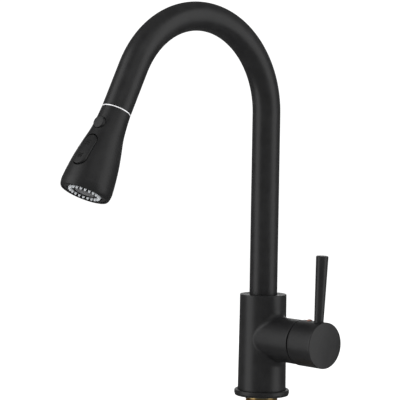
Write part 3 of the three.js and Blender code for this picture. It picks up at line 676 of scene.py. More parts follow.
# ---- deck mounting ----
@dataclass
class DeckMount:
    """The base flange and what clamps the faucet to its deck, in millimetres."""

    bore: float = 16.8  # of every ring that the shank passes through
    flange_side: float = 2.6
    flange_rim: float = 1.7
    flange_gap: float = 0.3
    flange_foot_edge: float = 0.3
    flange_inner_edge: float = 0.25
    shoulder_steps: int = 10
    gasket_edge: float = 0.45
    clamp_gasket_edge: float = 0.7
    washer_edge: float = 0.4
    shank_radius: float = 16.5
    shank_bore: float = 13.5
    thread_depth: float = 0.75
    thread_pitch: float = 1.5
    thread_end: float = -3.0
    thread_start: float = 1.2  # above the shank's foot
    thread_runout: float = 3.0
    thread_sink: float = 0.15  # how far the ridge goes into the sleeve
    thread_steps: int = 48  # in a turn
    shank_edges: tuple[float, float, float] = (0.3, 0.4, 0.2)  # bore, foot and shoulder
    nut_radius: float = 24.0
    nut_edge: float = 0.8
    ear_count: int = 4
    ear_reach: float = 7.0
    ear_width: float = 7.0
    ear_root: float = 2.0  # how far an ear goes into the nut
    ear_drop: float = 0.3  # below the nut's top
    ear_edge: float = 1.6

    def build(self) -> None:
        """Makes every piece of the mounting."""
        self.flange()
        self.shank()
        self.nut()
        self.ring("deck_gasket_ring", "deck_gasket", RUBBER, self.gasket_edge)
        self.ring("clamp_gasket_ring", "clamp_gasket", RUBBER, self.clamp_gasket_edge)
        self.ring("clamp_washer_plate", "clamp_washer", STEEL, self.washer_edge)

    def ring(self, name: str, node: str, finish: Finish, edge: float) -> None:
        """Makes a flat ring in a node's place.

        Args:
            name: The piece's name.
            node: The node that it stands for.
            finish: Its surface.
            edge: How round its outer rims are.
        """
        low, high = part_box(node)
        shape = tube(high.x / MM, self.bore, low.z / MM, high.z / MM, edge)
        finish_piece(name, shape, finish, Body.BASE, [node])

    def flange(self) -> None:
        """Makes the base flange, with its shoulder rounded over."""
        low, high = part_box("base_flange")
        foot, top, outer = low.z / MM, high.z / MM, high.x / MM
        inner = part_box("faucet_body")[1].y / MM + self.flange_gap
        run = outer - inner - self.flange_rim
        rise = top - foot - self.flange_side
        steps = self.shoulder_steps
        shoulder = [
            Corner(
                outer - run + run * math.cos(math.pi / 2 * i / steps),
                top - rise + rise * math.sin(math.pi / 2 * i / steps),
            )
            for i in range(steps + 1)
        ]
        outline = [
            Corner(inner, foot), Corner(outer, foot, self.flange_foot_edge), *shoulder,
            Corner(inner, top, self.flange_inner_edge),
        ]
        finish_piece("base_flange_ring", turned(outline), PAINT, Body.BASE, ["base_flange"])

    def shank(self) -> None:
        """Makes the threaded shank: a sleeve and a ridge that winds round it."""
        low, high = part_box("mounting_shank")
        foot, top = low.z / MM, high.z / MM
        root = self.shank_radius - self.thread_depth
        bore_edge, foot_edge, shoulder_edge = self.shank_edges
        shoulder = self.thread_end + self.thread_runout
        sleeve = turned([
            Corner(self.shank_bore, foot, bore_edge), Corner(root, foot, foot_edge),
            Corner(root, shoulder), Corner(self.shank_radius, shoulder, shoulder_edge),
            Corner(self.shank_radius, top), Corner(self.shank_bore, top),
        ], MEDIUM)
        ridge = self.thread(root, foot + self.thread_start, self.thread_end)
        finish_piece(
            "threaded_shank", merged([sleeve, ridge]), BRASS, Body.BASE, ["mounting_shank"], 25, False
        )

    def thread(self, root: float, low: float, high: float) -> BMesh:
        """Winds one ridge up the shank.

        Args:
            root: The radius at the bottom of the thread.
            low: Where it starts.
            high: Where it ends.

        Returns:
            The closed ridge.
        """
        made = bmesh.new()
        base, crest = self.thread_pitch / 2 * 0.9, self.thread_pitch / 2 * 0.12
        inner, outer = root - self.thread_sink, self.shank_radius
        profile = [(inner, -base), (outer, -crest), (outer, crest), (inner, base)]
        made.faces.new([made.verts.new((r * MM, 0, (low + z) * MM)) for r, z in profile])
        turns = (high - low) / self.thread_pitch
        per_turn = self.thread_steps
        steps = round(turns * per_turn)
        bmesh.ops.spin(
            made, geom=made.verts[:] + made.edges[:] + made.faces[:], cent=(0, 0, 0), axis=(0, 0, 1),
            dvec=(0, 0, self.thread_pitch * MM / per_turn), angle=TAU * steps / per_turn, steps=steps,
            use_merge=False, use_normal_flip=False, use_duplicate=False,
        )
        bmesh.ops.recalc_face_normals(made, faces=made.faces[:])
        return made

    def nut(self) -> None:
        """Makes the clamping nut, with four ears to turn it by."""
        low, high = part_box("mounting_nut")
        foot, top = low.z / MM, high.z / MM
        steps = []
        reach = self.nut_radius + self.ear_reach
        for i in range(self.ear_count):
            ear = box(
                (self.nut_radius - self.ear_root, -self.ear_width / 2, foot),
                (reach, self.ear_width / 2, top - self.ear_drop),
            )
            tips = [e for e in ear.edges if all(v.co.x > (reach - 0.1) * MM for v in e.verts)]
            soften(ear, tips, self.ear_edge)
            turn = TAU * (i + 0.5) / self.ear_count
            steps.append((Join.ADD, moved(ear, Matrix.Rotation(turn, 4, "Z"))))
        steps.append((Join.REMOVE, rod(self.bore, foot - 1, top + 1, steps=MEDIUM)))
        shape = combined(rod(self.nut_radius, foot, top, self.nut_edge, MEDIUM), *steps)
        finish_piece("clamping_nut", shape, BRASS, Body.BASE, ["mounting_nut"])


# ---- body ----
@dataclass
class ValveBody:
    """The body's casting, whose branch for the valve flows into it, in millimetres."""

    foot_radius: float = 24.8
    top_radius: float = 23.9
    cavity: float = 20.1
    socket: float = 17.0
    tube_gap: float = 0.3
    web: float = 2.2
    hose_hole: float = 12.5
    cavity_from: float = 15.6
    shank_bore: float = 16.8
    branch_radius: float = 22.5
    branch_bore: float = 18.9
    branch_edge: float = 0.7
    branch_height: float = 60.0
    fillet: float = 7.5
    sink: float = 0.03  # how far the fillet's end dips under the body's surface
    screw_radius: float = 2.8
    screw_height: float = 93.8
    foot_edge: float = 0.3
    top_edge: float = 0.45
    column_rows: int = 24
    branch_root: float = 4.0  # where the branch starts inside the column
    branch_rows: int = 34
    bend_rows: int = 9  # of those, the ones on the fillet
    branch_mouth: float = 0.4
    bush_bore: float = 14.6
    bush_edges: tuple[float, float] = (0.2, 0.5)  # outer and inner
    foot: float = field(default_factory=lambda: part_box("faucet_body")[0].z / MM)
    top: float = field(default_factory=lambda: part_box("faucet_body")[1].z / MM)
    branch_end: float = field(default_factory=lambda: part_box("faucet_body")[1].x / MM)
    tube_foot: float = field(default_factory=lambda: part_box("spout_tube")[0].z / MM)

    def build(self) -> None:
        """Makes the casting and the bush that shows at its top."""
        shape = combined(
            self.column(),
            (Join.ADD, self.branch()),
            (Join.REMOVE, self.bores()),
            (Join.REMOVE, self.branch_hole()),
            (Join.REMOVE, self.screw_hole()),
        )
        finish_piece("body_casting", shape, PAINT, Body.BASE, ["faucet_body"], 32, False)
        low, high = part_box("spout_bush_upper")
        outer, foot, top = high.x / MM, low.z / MM, high.z / MM
        outer_edge, inner_edge = self.bush_edges
        bush = turned([
            Corner(self.bush_bore, foot), Corner(outer, foot), Corner(outer, top, outer_edge),
            Corner(self.bush_bore, top, inner_edge),
        ])
        finish_piece("spout_bearing_bush", bush, SHINY_BLACK, Body.BASE, ["spout_bush_upper"])

    def radius_at(self, height: float) -> float:
        """The column's outer radius at a height."""
        share = (height - self.foot) / (self.top - self.foot)
        return self.foot_radius + (self.top_radius - self.foot_radius) * share

    def column(self) -> BMesh:
        """The upright part, with rings all the way up so that its shading stays even."""
        rows = self.column_rows
        heights = [self.foot + (self.top - self.foot) * i / rows for i in range(1, rows)]
        side = [Corner(self.radius_at(h), h) for h in heights]
        return turned([
            Corner(0, self.foot), Corner(self.foot_radius, self.foot, self.foot_edge), *side,
            Corner(self.top_radius, self.top, self.top_edge), Corner(0, self.top),
        ])

    def fillet_point(self, angle: float, share: float) -> Vector:
        """A point on the ball fillet between the branch and the column.

        Args:
            angle: The angle round the branch, from its top.
            share: 0 where the fillet leaves the branch, 1 where it meets the column.

        Returns:
            The point, in millimetres.
        """
        reach = self.branch_radius + self.fillet
        up = self.branch_height + reach * math.cos(angle)
        across = reach * math.sin(angle)
        column = self.radius_at(up) + self.fillet - self.sink
        centre = Vector((math.sqrt(column**2 - across**2), across, up))
        to_branch = Vector((0, -math.sin(angle), -math.cos(angle)))
        to_column = -Vector((centre.x, centre.y, 0)).normalized()
        turn = to_branch.rotation_difference(to_column)
        return centre + Quaternion(turn.axis, turn.angle * share) @ to_branch * self.fillet

    def branch(self) -> BMesh:
        """The branch, spun as a plain bar whose rings are then set on the fillet."""
        bend_rows, rows = self.bend_rows, self.branch_rows
        rings = [Corner(self.branch_radius, i) for i in range(-1, rows + 1)]
        made = turned([Corner(0, -2), *rings, Corner(0, rows)])
        root = Vector((self.branch_root, 0, self.branch_height))
        end = Vector((self.branch_end, 0, self.branch_height))
        for vert in made.verts:
            row = round(vert.co.z / MM)
            angle = math.atan2(vert.co.y, vert.co.x)
            if math.hypot(vert.co.x, vert.co.y) < NEAR:
                place = root if row < 0 else end
            elif row < 0:
                edge = self.fillet_point(angle, 1)
                place = edge.lerp(root, 0.12)
            elif row <= bend_rows:
                place = self.fillet_point(angle, 1 - row / bend_rows)
            else:
                start = self.fillet_point(angle, 0)
                share = (row - bend_rows) / (rows - bend_rows)
                place = start.lerp(Vector((self.branch_end, start.y, start.z)), share)
            vert.co = place * MM
        bmesh.ops.recalc_face_normals(made, faces=made.faces[:])
        rim = [
            e for e in made.edges
            if all(abs(v.co.x - self.branch_end * MM) < NEAR for v in e.verts)
            and all((v.co - end * MM).length > NEAR for v in e.verts)
        ]
        soften(made, rim, self.branch_edge)
        return made

    def bores(self) -> BMesh:
        """The shank's bore, the cavity, the hose's hole and the spout's socket."""
        floor = self.tube_foot - self.tube_gap
        ceiling = floor - self.web
        return turned([
            Corner(0, self.foot - 1), Corner(self.shank_bore, self.foot - 1),
            Corner(self.shank_bore, self.cavity_from), Corner(self.cavity, self.cavity_from),
            Corner(self.cavity, ceiling), Corner(self.hose_hole, ceiling),
            Corner(self.hose_hole, floor), Corner(self.socket, floor),
            Corner(self.socket, self.top + 1), Corner(0, self.top + 1),
        ])

    def branch_hole(self) -> BMesh:
        """The bore that the valve stands in, which widens a little at its mouth."""
        mouth = self.branch_mouth
        before, after = self.branch_end - mouth, self.branch_end + mouth
        shape = turned([
            Corner(0, 0), Corner(self.branch_bore, 0), Corner(self.branch_bore, before),
            Corner(self.branch_bore + mouth * 2, after), Corner(0, after),
        ])
        return shifted(moved(shape, ALONG_X), z=self.branch_height)

    def screw_hole(self) -> BMesh:
        """The hole at the back for the screw that keeps the spout in."""
        inside = self.socket / 2
        shape = moved(rod(self.screw_radius, inside, self.foot_radius + 1), ALONG_Y)
        return shifted(shape, z=self.screw_height)


# ---- handle ----
@dataclass
class Handle:
    """The handle's hub, its lever and the hot and cold dot, in millimetres."""

    axis_height: float = 60.0
    rim_wall: float = 0.8
    rim_depth: float = 6.0
    rim_taper: float = 3.0
    wall: float = 3.0
    end_wall: float = 4.0
    hub_rows: int = 10
    rim_edge: float = 0.25
    end_edge: float = 0.6
    boss: float = 8.0
    boss_from: float = 62.0
    screw_boss_wall: float = 3.2
    beyond: float = 30.0  # how far from its start a hole's cutter ends
    stem_half: float = 3.55
    stem_end: float = 79.3
    notch_half: float = 5.0
    notch_depth: float = 3.4
    lever_station: float = 78.2
    lever_lean: float = 2.6
    lever_base: float = 4.6
    lever_tip: float = 6.2
    lever_length: float = 89.1
    lever_seat: float = 17.0
    lever_root: float = 3.0
    lever_root_from: float = 8.6
    screw_station: float = 71.0
    screw_radius: float = 2.4
    dot_station: float = 66.5
    dot_radius: float = 2.9
    dot_depth: float = 2.2
    dot_crown: float = 1.3
    gap: float = 0.3
    rim_back: float = 0.6
    start: float = field(default_factory=lambda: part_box("handle_hub")[0].x / MM)
    end: float = field(default_factory=lambda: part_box("handle_hub")[1].x / MM)
    radius: float = field(default_factory=lambda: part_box("handle_hub")[1].y / MM)

    def build(self) -> None:
        """Makes the hub, the lever and the dot."""
        finish_piece("handle_hub_cap", self.hub(), PAINT, Body.HANDLE, ["handle_hub"], 32, False)
        finish_piece("handle_lever_bar", self.lever(), PAINT, Body.HANDLE, ["handle_lever"])
        finish_piece("hot_cold_dot", self.dot(), DOT, Body.HANDLE, ["temperature_dot"])

    def on_axis(self, shape: BMesh) -> BMesh:
        """A shape turned round Z, laid on the hub's own axis."""
        return shifted(moved(shape, ALONG_X), z=self.axis_height)

    def on_lever(self, shape: BMesh) -> BMesh:
        """A shape turned round Z, stood on the lever's leaning axis."""
        lean = Matrix.Rotation(math.radians(self.lever_lean), 4, "Y")
        return shifted(moved(shape, lean), self.lever_station, 0, self.axis_height)

    def hub(self) -> BMesh:
        """The hub: a cap with a thin rim, a boss for the stem and its holes."""
        cavity_end = self.end - self.end_wall
        rim_inner, inner = self.radius - self.rim_wall, self.radius - self.wall
        rim, rim_end = self.start + self.rim_back, self.start + self.rim_depth
        run = self.end - self.start
        rows = [
            Corner(self.radius, self.start + run * i / self.hub_rows) for i in range(1, self.hub_rows)
        ]
        shell = turned([
            Corner(rim_inner, rim), Corner(self.radius, rim, self.rim_edge), *rows,
            Corner(self.radius, self.end, self.end_edge), Corner(0, self.end), Corner(0, cavity_end),
            Corner(inner, cavity_end), Corner(inner, rim_end + self.rim_taper),
            Corner(rim_inner, rim_end),
        ])
        boss = rod(self.boss, self.boss_from, cavity_end + 1)
        screw_boss = rod(self.screw_radius + self.screw_boss_wall, 1 - self.radius, 0)
        half, height = self.stem_half, self.axis_height
        socket = box(
            (self.boss_from - 1, -half, height - half), (self.stem_end, half, height + half)
        )
        notch = moved(rod(self.notch_depth, -self.notch_half, self.notch_half), ALONG_Y)
        gap, beyond = self.gap, self.beyond
        lever_boss = rod(self.boss, 0, self.radius - self.wall / 2)
        root_hole = rod(self.lever_root + gap, self.lever_root_from - gap, self.lever_seat + gap)
        lever_hole = rod(self.lever_base + gap, self.lever_seat - gap, beyond)
        screw_hole = rod(self.screw_radius + gap, -beyond, 0)
        dot_hole = rod(self.dot_radius + gap / 3, self.radius - self.dot_depth, beyond)
        return combined(
            self.on_axis(shell),
            (Join.ADD, self.on_axis(boss)),
            (Join.ADD, self.on_lever(lever_boss)),
            (Join.ADD, shifted(screw_boss, self.screw_station, 0, height)),
            (Join.REMOVE, socket),
            (Join.REMOVE, self.on_lever(root_hole)),
            (Join.REMOVE, self.on_lever(lever_hole)),
            (Join.REMOVE, shifted(screw_hole, self.screw_station, 0, height)),
            (Join.REMOVE, shifted(notch, self.start, 0, height - self.radius)),
            (Join.REMOVE, shifted(dot_hole, self.dot_station, 0, height)),
        )

    def lever(self) -> BMesh:
        """The lever, which widens towards its slightly domed top."""
        top, tip = self.lever_length, self.lever_tip
        dome = 0.35
        crown = [Corner(tip * math.cos(a), top - dome + dome * math.sin(a)) for a in (0.5, 0.9, 1.25)]
        shape = turned([
            Corner(0, self.lever_root_from), Corner(self.lever_root, self.lever_root_from, 0.3),
            Corner(self.lever_root, self.lever_seat), Corner(self.lever_base, self.lever_seat),
            Corner(tip - 0.04, top - dome - 0.6), Corner(tip - 0.25, top - dome - 0.15), *crown,
            Corner(0, top),
        ], MEDIUM)
        return self.on_lever(shape)

    def dot(self) -> BMesh:
        """The dot, with a crown that stands proud of the hub."""
        top = self.radius
        steps = 6
        crown = [
            Corner(
                self.dot_radius * math.cos(math.pi / 2 * i / steps),
                top + self.dot_crown * math.sin(math.pi / 2 * i / steps),
            )
            for i in range(steps)
        ]
        shape = turned([
            Corner(0, top - self.dot_depth + self.gap),
            Corner(self.dot_radius, top - self.dot_depth + self.gap), *crown,
            Corner(0, top + self.dot_crown),
        ], COARSE)
        return shifted(shape, self.dot_station, 0, self.axis_height)


# ---- spout ----
@dataclass
class Gooseneck:
    """The line that the spout follows, in millimetres."""

    rise_top: float = 289.5
    bend: float = 93.7
    bend_angle: float = 154.35
    tip: float = 45.8

    def arc(self, share: float) -> Matrix:
        """The frame at a share of the bend, with Z along the line."""
        turn = Matrix.Rotation(math.radians(self.bend_angle) * share, 4, "X")
        pivot = Matrix.Translation(Vector((0, -self.bend, self.rise_top)) * MM)
        return pivot @ turn @ Matrix.Translation(Vector((0, self.bend, 0)) * MM)

    def past_arc(self, run: float) -> Matrix:
        """The frame at a distance past the bend's end."""
        return self.arc(1) @ Matrix.Translation(Vector((0, 0, run)) * MM)


@dataclass
class Spout:
    """The spout's tube, its bright seam ring and the hose inside, in millimetres."""

    line: Gooseneck = field(default_factory=Gooseneck)
    radius: float = 14.3
    wall: float = 1.2
    groove_height: float = 93.8
    groove_width: float = 3.0
    groove_depth: float = 0.6
    rings_from: float = 120.0
    upright_rings: int = 12
    bend_rings: int = 72
    tip_rings: int = 6
    seam: float = 1.0
    seam_edge: float = 0.12
    seam_gap: float = 0.3
    seam_bore: float = 10.9
    hose_radius: float = 4.8
    hose_offset: float = -8.2
    hose_straight_to: float = 62.0
    hose_centred_from: float = 100.0
    hose_clearance: float = 8.3  # from the spout's mouth back to the hose's end
    hose_rise: float = 2.0  # of its foot above the ferrule's
    upright_steps: int = 6
    sway_steps: int = 12
    bend_steps: int = 40
    reach_steps: int = 60
    ferrule_radius: float = 5.3
    ferrule_bore: float = 3.0
    ferrule_length: float = 16.0
    ferrule_edges: tuple[float, float] = (0.3, 0.6)  # foot and top
    weave: float = 2.4  # length of one braid crossing

    def build(self) -> None:
        """Makes the tube, the ring and the hose."""
        finish_piece("gooseneck_tube", self.pipe(), PAINT, Body.SPOUT, ["spout_tube"], 40, False)
        ring = tube(self.radius, self.seam_bore, -self.seam, 0, self.seam_edge)
        finish_piece("bright_seam", self.at_mouth(ring), BRIGHT, Body.SPOUT, ["seam_ring"])
        self.hose()

    def at_mouth(self, shape: BMesh) -> BMesh:
        """A shape on Z, stood at the spout's mouth."""
        return moved(shape, self.line.past_arc(self.line.tip + self.seam_gap + self.seam))

    def pipe(self) -> BMesh:
        """The tube: turned upright, spun over the bend and drawn on to its tip."""
        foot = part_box("spout_tube")[0].z / MM
        half_width = self.groove_width / 2
        low, high = self.groove_height - half_width, self.groove_height + half_width
        bore, deep = self.radius - self.wall, self.radius - self.groove_depth
        count, run = self.upright_rings, self.line.rise_top - self.rings_from
        heights = [self.rings_from + run * i / count for i in range(count + 1)]
        outline = [
            *[Corner(bore, h) for h in reversed(heights)], Corner(bore, foot),
            Corner(self.radius, foot), Corner(self.radius, low), Corner(deep, low), Corner(deep, high),
            Corner(self.radius, high), *[Corner(self.radius, h) for h in heights],
        ]
        made = turned(outline)
        top = self.line.rise_top * MM
        lid = [f for f in made.faces if all(abs(v.co.z - top) < NEAR for v in f.verts)]
        bmesh.ops.delete(made, geom=lid, context="FACES_ONLY")
        rims = [e for e in made.edges if all(abs(v.co.z - top) < NEAR for v in e.verts)]
        rims = [e for e in rims if e.is_boundary]
        spun = bmesh.ops.spin(
            made, geom=[v for v in made.verts if abs(v.co.z - top) < NEAR] + rims,
            cent=Vector((0, -self.line.bend, self.line.rise_top)) * MM, axis=(1, 0, 0), dvec=(0, 0, 0),
            angle=math.radians(self.line.bend_angle), steps=self.bend_rings, use_merge=False,
            use_normal_flip=False, use_duplicate=False,
        )["geom_last"]
        edges = [g for g in spun if isinstance(g, bmesh.types.BMEdge)]
        down = (self.line.past_arc(1).translation - self.line.past_arc(0).translation).normalized()
        for _ in range(self.tip_rings):
            grown = bmesh.ops.extrude_edge_only(made, edges=edges)["geom"]
            verts = [g for g in grown if isinstance(g, bmesh.types.BMVert)]
            edges = [
                g for g in grown
                if isinstance(g, bmesh.types.BMEdge) and all(v in verts for v in g.verts)
            ]
            step = down * self.line.tip / self.tip_rings * MM
            bmesh.ops.translate(made, vec=step, verts=verts)
        bmesh.ops.bridge_loops(made, edges=edges)
        bmesh.ops.recalc_face_normals(made, faces=made.faces[:])
        return made

    def hose(self) -> None:
        """Makes the braided hose: what stands still in the body, what turns and what draws out."""
        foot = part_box("spray_hose")[0].z / MM
        low, steps = foot + self.hose_rise, self.upright_steps
        upright = [low + (self.hose_straight_to - low) * i / steps for i in range(steps + 1)]
        frames = [Matrix.Translation(Vector((self.hose_offset, 0, z)) * MM) for z in upright]
        for i in range(1, self.sway_steps + 1):
            share = i / self.sway_steps
            ease = share * share * (3 - 2 * share)
            z = self.hose_straight_to + (self.hose_centred_from - self.hose_straight_to) * share
            slope = -self.hose_offset * 6 * share * (1 - share)
            lean = math.atan2(slope, self.hose_centred_from - self.hose_straight_to)
            frames.append(
                Matrix.Translation(Vector((self.hose_offset * (1 - ease), 0, z)) * MM)
                @ Matrix.Rotation(lean, 4, "Y")
            )
        lengths = self.along(frames)
        still = self.woven(swept(self.hose_radius, frames), lengths)
        finish_piece("spray_hose_foot", still, BRAID, Body.BASE, ["spray_hose"], weigh=False)

        steps = self.bend_steps
        frames = [frames[-1], *[self.line.arc(i / steps) for i in range(steps + 1)]]
        lengths = [lengths[-1] + length for length in self.along(frames)]
        inner = self.woven(swept(self.hose_radius, frames), lengths)
        finish_piece("spray_hose_inner", inner, BRAID, Body.SPOUT, ["spray_hose"], weigh=False)

        run = self.line.tip + self.seam_gap + self.seam - self.hose_clearance
        steps = self.reach_steps
        frames = [self.line.past_arc(run * i / steps) for i in range(steps + 1)]
        drawn = self.woven(swept(self.hose_radius, frames), self.drawn_along(frames, run))
        reach = finish_piece("spray_hose_reach", drawn, BRAID, None, ["spray_hose"], weigh=False)
        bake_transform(reach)
        top = foot + self.ferrule_length
        foot_edge, top_edge = self.ferrule_edges
        ferrule = turned([
            Corner(self.ferrule_bore, foot), Corner(self.ferrule_radius, foot, foot_edge),
            Corner(self.ferrule_radius, top, top_edge), Corner(self.ferrule_bore, top),
        ], COARSE)
        finish_piece("hose_end_ferrule", shifted(ferrule, self.hose_offset), STEEL, Body.BASE)

    def along(self, frames: Sequence[Matrix]) -> list[float]:
        """How far each of a path's places is along it, in millimetres."""
        total = [0.0]
        for here, there in zip(frames, frames[1:]):
            total.append(total[-1] + (there.translation - here.translation).length / MM)
        return total

    def drawn_along(self, frames: Sequence[Matrix], run: float) -> list[float]:
        """How far each place is along the hose once the head is pulled out all the way."""
        pull = next(j for j in frame["joints"] if j["name"] == "spray_pull")["range_m"][1] / MM
        shares = [i / (len(frames) - 1) for i in range(len(frames))]
        return [run * s + pull * s * s * (3 - 2 * s) for s in shares]

    def woven(self, shape: BMesh, lengths: Sequence[float]) -> BMesh:
        """Gives a swept hose the map that its braid follows.

        Args:
            shape: The hose, whose rings are in the order they were swept.
            lengths: How far each ring is along the hose, in millimetres.

        Returns:
            The same hose.
        """
        layer = shape.loops.layers.uv.new(BRAID.map_name)
        shape.verts.ensure_lookup_table()
        for face in shape.faces:
            if len(face.verts) != 4:
                continue
            around = [(loop.vert.index % COARSE) / COARSE for loop in face.loops]
            wraps = max(around) - min(around) > 0.5
            for loop, share in zip(face.loops, around):
                turn = share + 1 if wraps and share < 0.5 else share
                loop[layer].uv = (turn, lengths[loop.vert.index // COARSE] / self.weave)
        return shape


# ---- spray head ----
@dataclass
class SprayHead:
    """The pull-down head and all that shows on it, in millimetres down its axis from the mouth."""

    outline: tuple[tuple[float, float], ...] = (
        (0.3, 14.3), (12.3, 15.1), (24.5, 16.55), (38.8, 19.6), (53.1, 22.3), (67.4, 24.1),
        (77.4, 24.94),
    )
    side_steps: int = 8  # between two places of the outline
    length: float = 85.4
    wall: float = 2.2
    rim_inset: float = 2.4
    rim_steps: int = 10
    rim_edge: float = 0.3
    hole_from: float = 8.0  # where the cutters of the buttons' holes start
    hole_to: float = 30.0
    neck_bore: float = 10.9
    wall_from: float = 1.9
    face_seat: float = 79.2
    face_radius: float = 21.1
    face_from: float = 79.5
    face_end: float = 84.6
    groove_from: float = 81.2
    nozzle_inner: float = 12.1
    nozzle_outer: float = 17.4
    nozzle_count: int = 22
    nozzle_radius: float = 1.2
    nozzle_proud: float = 1.3
    jet: float = 0.3  # the hole in a nozzle, as a share of its radius
    jet_depth: float = 1.0
    web_sunk: float = 1.2
    aerator_radius: float = 11.2
    aerator_wall: float = 1.5
    aerator_from: float = 74.6
    aerator_end: float = 84.9
    screen_at: float = 83.7
    screen_cells: int = 15
    screen_wire: float = 0.34
    screen_trim: float = 0.9
    band_wall: float = 1.5
    band: tuple[float, float] = (-0.5, 0.3)
    pause_station: float = 18.8
    pause_radius: float = 6.1
    pause_proud: float = 2.2
    pause_thickness: float = 4.2
    pause_edge: float = 0.9
    pause_foot_edge: float = 0.3
    pause_dome: float = 0.25
    pause_roll_steps: int = 5
    plunger_radius: float = 2.0
    plunger_length: float = 5.0
    inlet_neck: float = 7.6
    spring_gap: float = 0.7
    spring_radius: float = 4.0
    spring_wire: float = 0.27
    spring_turns: int = 3
    spring_steps: int = 20  # in a turn
    rocker_station: float = 48.9
    rocker_half_length: float = 16.6
    rocker_half_width: float = 7.4
    rocker_proud: float = 0.9
    rocker_thickness: float = 3.2
    rocker_gap: float = 0.75
    rocker_pivot_depth: float = 3.1
    rocker_tilt: float = -3.5
    rocker_edge: float = 0.9
    rocker_cuts: int = 15
    rocker_rings: tuple[float, ...] = (
        0.12, 0.2, 0.3, 0.4, 0.5, 0.6, 0.7, 0.8, 0.8, 0.8, 0.8, 0.6,
    )
    mark_sunk: float = 0.15
    mark_proud: float = 0.13
    mark_edge: float = 0.05
    mark_bar: tuple[float, float] = (5.2, 0.95)
    spray_mark_up: float = 9.5
    drop_size: tuple[float, float] = (0.8, 1.4)
    drop_rows: tuple[tuple[float, float], ...] = ((2.6, 1.0), (4.6, 1.35))  # down, and spread
    drop_places: tuple[float, ...] = (-1.8, -0.6, 0.6, 1.8)
    drop_turn: float = 14.0
    blade_mark_down: float = 6.0
    line_size: tuple[float, float] = (0.85, 4.4)
    line_places: tuple[float, ...] = (-1.6, 0.0, 1.6)
    line_down: float = 3.4
    gap: float = 0.3
    matrix: Matrix = field(default_factory=lambda: SprayHead.head_frame())
    side: list[tuple[float, float]] = field(init=False)

    def __post_init__(self) -> None:
        """Works out the head's smooth side."""
        self.side = self.smooth_side(self.side_steps)

    @staticmethod
    def head_frame() -> Matrix:
        """The head's own frame: Z down the head from the mouth, and Y towards the buttons."""
        axes = {j["name"]: Vector(j["axis"]) for j in frame["joints"]}
        down = axes["spray_pull"].normalized()
        across = axes["spray_rocker"].normalized()
        low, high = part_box("seam_ring")
        mouth = (low + high) / 2 + down * 0.5 * MM
        made = Matrix((across, down.cross(across), down)).transposed().to_4x4()
        made.translation = mouth
        return made

    def smooth_side(self, steps: int) -> list[tuple[float, float]]:
        """The outline's stations and radii, with a smooth curve run through them.

        Args:
            steps: Steps from one given station to the next.

        Returns:
            Each station and radius.
        """
        given = [Vector(p) for p in self.outline]
        made = []
        for i in range(len(given) - 1):
            before, here, there = given[max(i - 1, 0)], given[i], given[i + 1]
            after = given[min(i + 2, len(given) - 1)]
            leave, arrive = (there - before) / 2, (after - here) / 2
            for step in range(steps):
                t = step / steps
                made.append(
                    here * (2 * t**3 - 3 * t**2 + 1) + leave * (t**3 - 2 * t**2 + t)
                    + there * (3 * t**2 - 2 * t**3) + arrive * (t**3 - t**2)
                )
        return [(p.x, p.y) for p in [*made, given[-1]]]

    def radius_at(self, station: float) -> float:
        """The head's outer radius at a station."""
        for (low, start), (high, end) in zip(self.side, self.side[1:]):
            if station <= high:
                return start + (end - start) * (station - low) / (high - low)
        return self.side[-1][1]

    def build(self) -> None:
        """Makes every piece of the head that shows."""
        finish_piece("head_shell_moulding", self.shell(), BLACK, Body.HEAD, ["head_shell"], 32, False)
        self.rocker()
        self.pause()
        self.face()
        self.nozzles()
        self.aerator()

    def placed(self, shape: BMesh) -> BMesh:
        """A shape in the head's frame, moved to where the head is."""
        return moved(shape, self.matrix)

    def shell(self) -> BMesh:
        """The shell, with its holes for the buttons and its recess for the spray face."""
        widest, full = self.side[-1]
        edge = full - self.rim_inset
        steps = self.rim_steps
        corner = [
            Corner(
                edge + self.rim_inset * math.cos(math.pi / 2 * i / steps),
                widest + (self.length - widest) * math.sin(math.pi / 2 * i / steps),
            )
            for i in range(1, steps + 1)
        ]
        inside = [
            Corner(r - self.wall, s) for s, r in reversed(self.side)
            if self.wall_from < s < self.face_seat
        ]
        recess = self.face_radius + self.gap
        outline = [
            Corner(self.neck_bore, self.side[0][0]), *[Corner(r, s) for s, r in self.side], *corner,
            Corner(recess, self.length, self.rim_edge), Corner(recess, self.face_seat),
            Corner(self.radius_at(self.face_seat) - self.wall, self.face_seat), *inside,
            Corner(self.radius_at(self.wall_from) - self.wall, self.wall_from),
            Corner(self.neck_bore, self.wall_from),
        ]
        low, high = self.hole_from, self.hole_to
        pause_hole = moved(rod(self.pause_radius + self.gap, low, high, steps=MEDIUM), ALONG_Y)
        pause_hole = shifted(pause_hole, z=self.pause_station)
        rocker_hole = self.oval(
            self.rocker_half_length + self.rocker_gap, self.rocker_half_width + self.rocker_gap,
            low, high,
        )
        return self.placed(combined(
            turned(outline), (Join.REMOVE, pause_hole), (Join.REMOVE, rocker_hole)
        ))

    def oval(self, half_length: float, half_width: float, low: float, high: float) -> BMesh:
        """An oval bar at the rocker's station, across the head from one radius to another."""
        made = bmesh.new()
        self.oval_face(made, half_length, half_width, low)
        grown = bmesh.ops.extrude_face_region(made, geom=made.faces[:])["geom"]
        verts = [g for g in grown if isinstance(g, bmesh.types.BMVert)]
        bmesh.ops.translate(made, vec=Vector((0, high - low, 0)) * MM, verts=verts)
        bmesh.ops.recalc_face_normals(made, faces=made.faces[:])
        return made

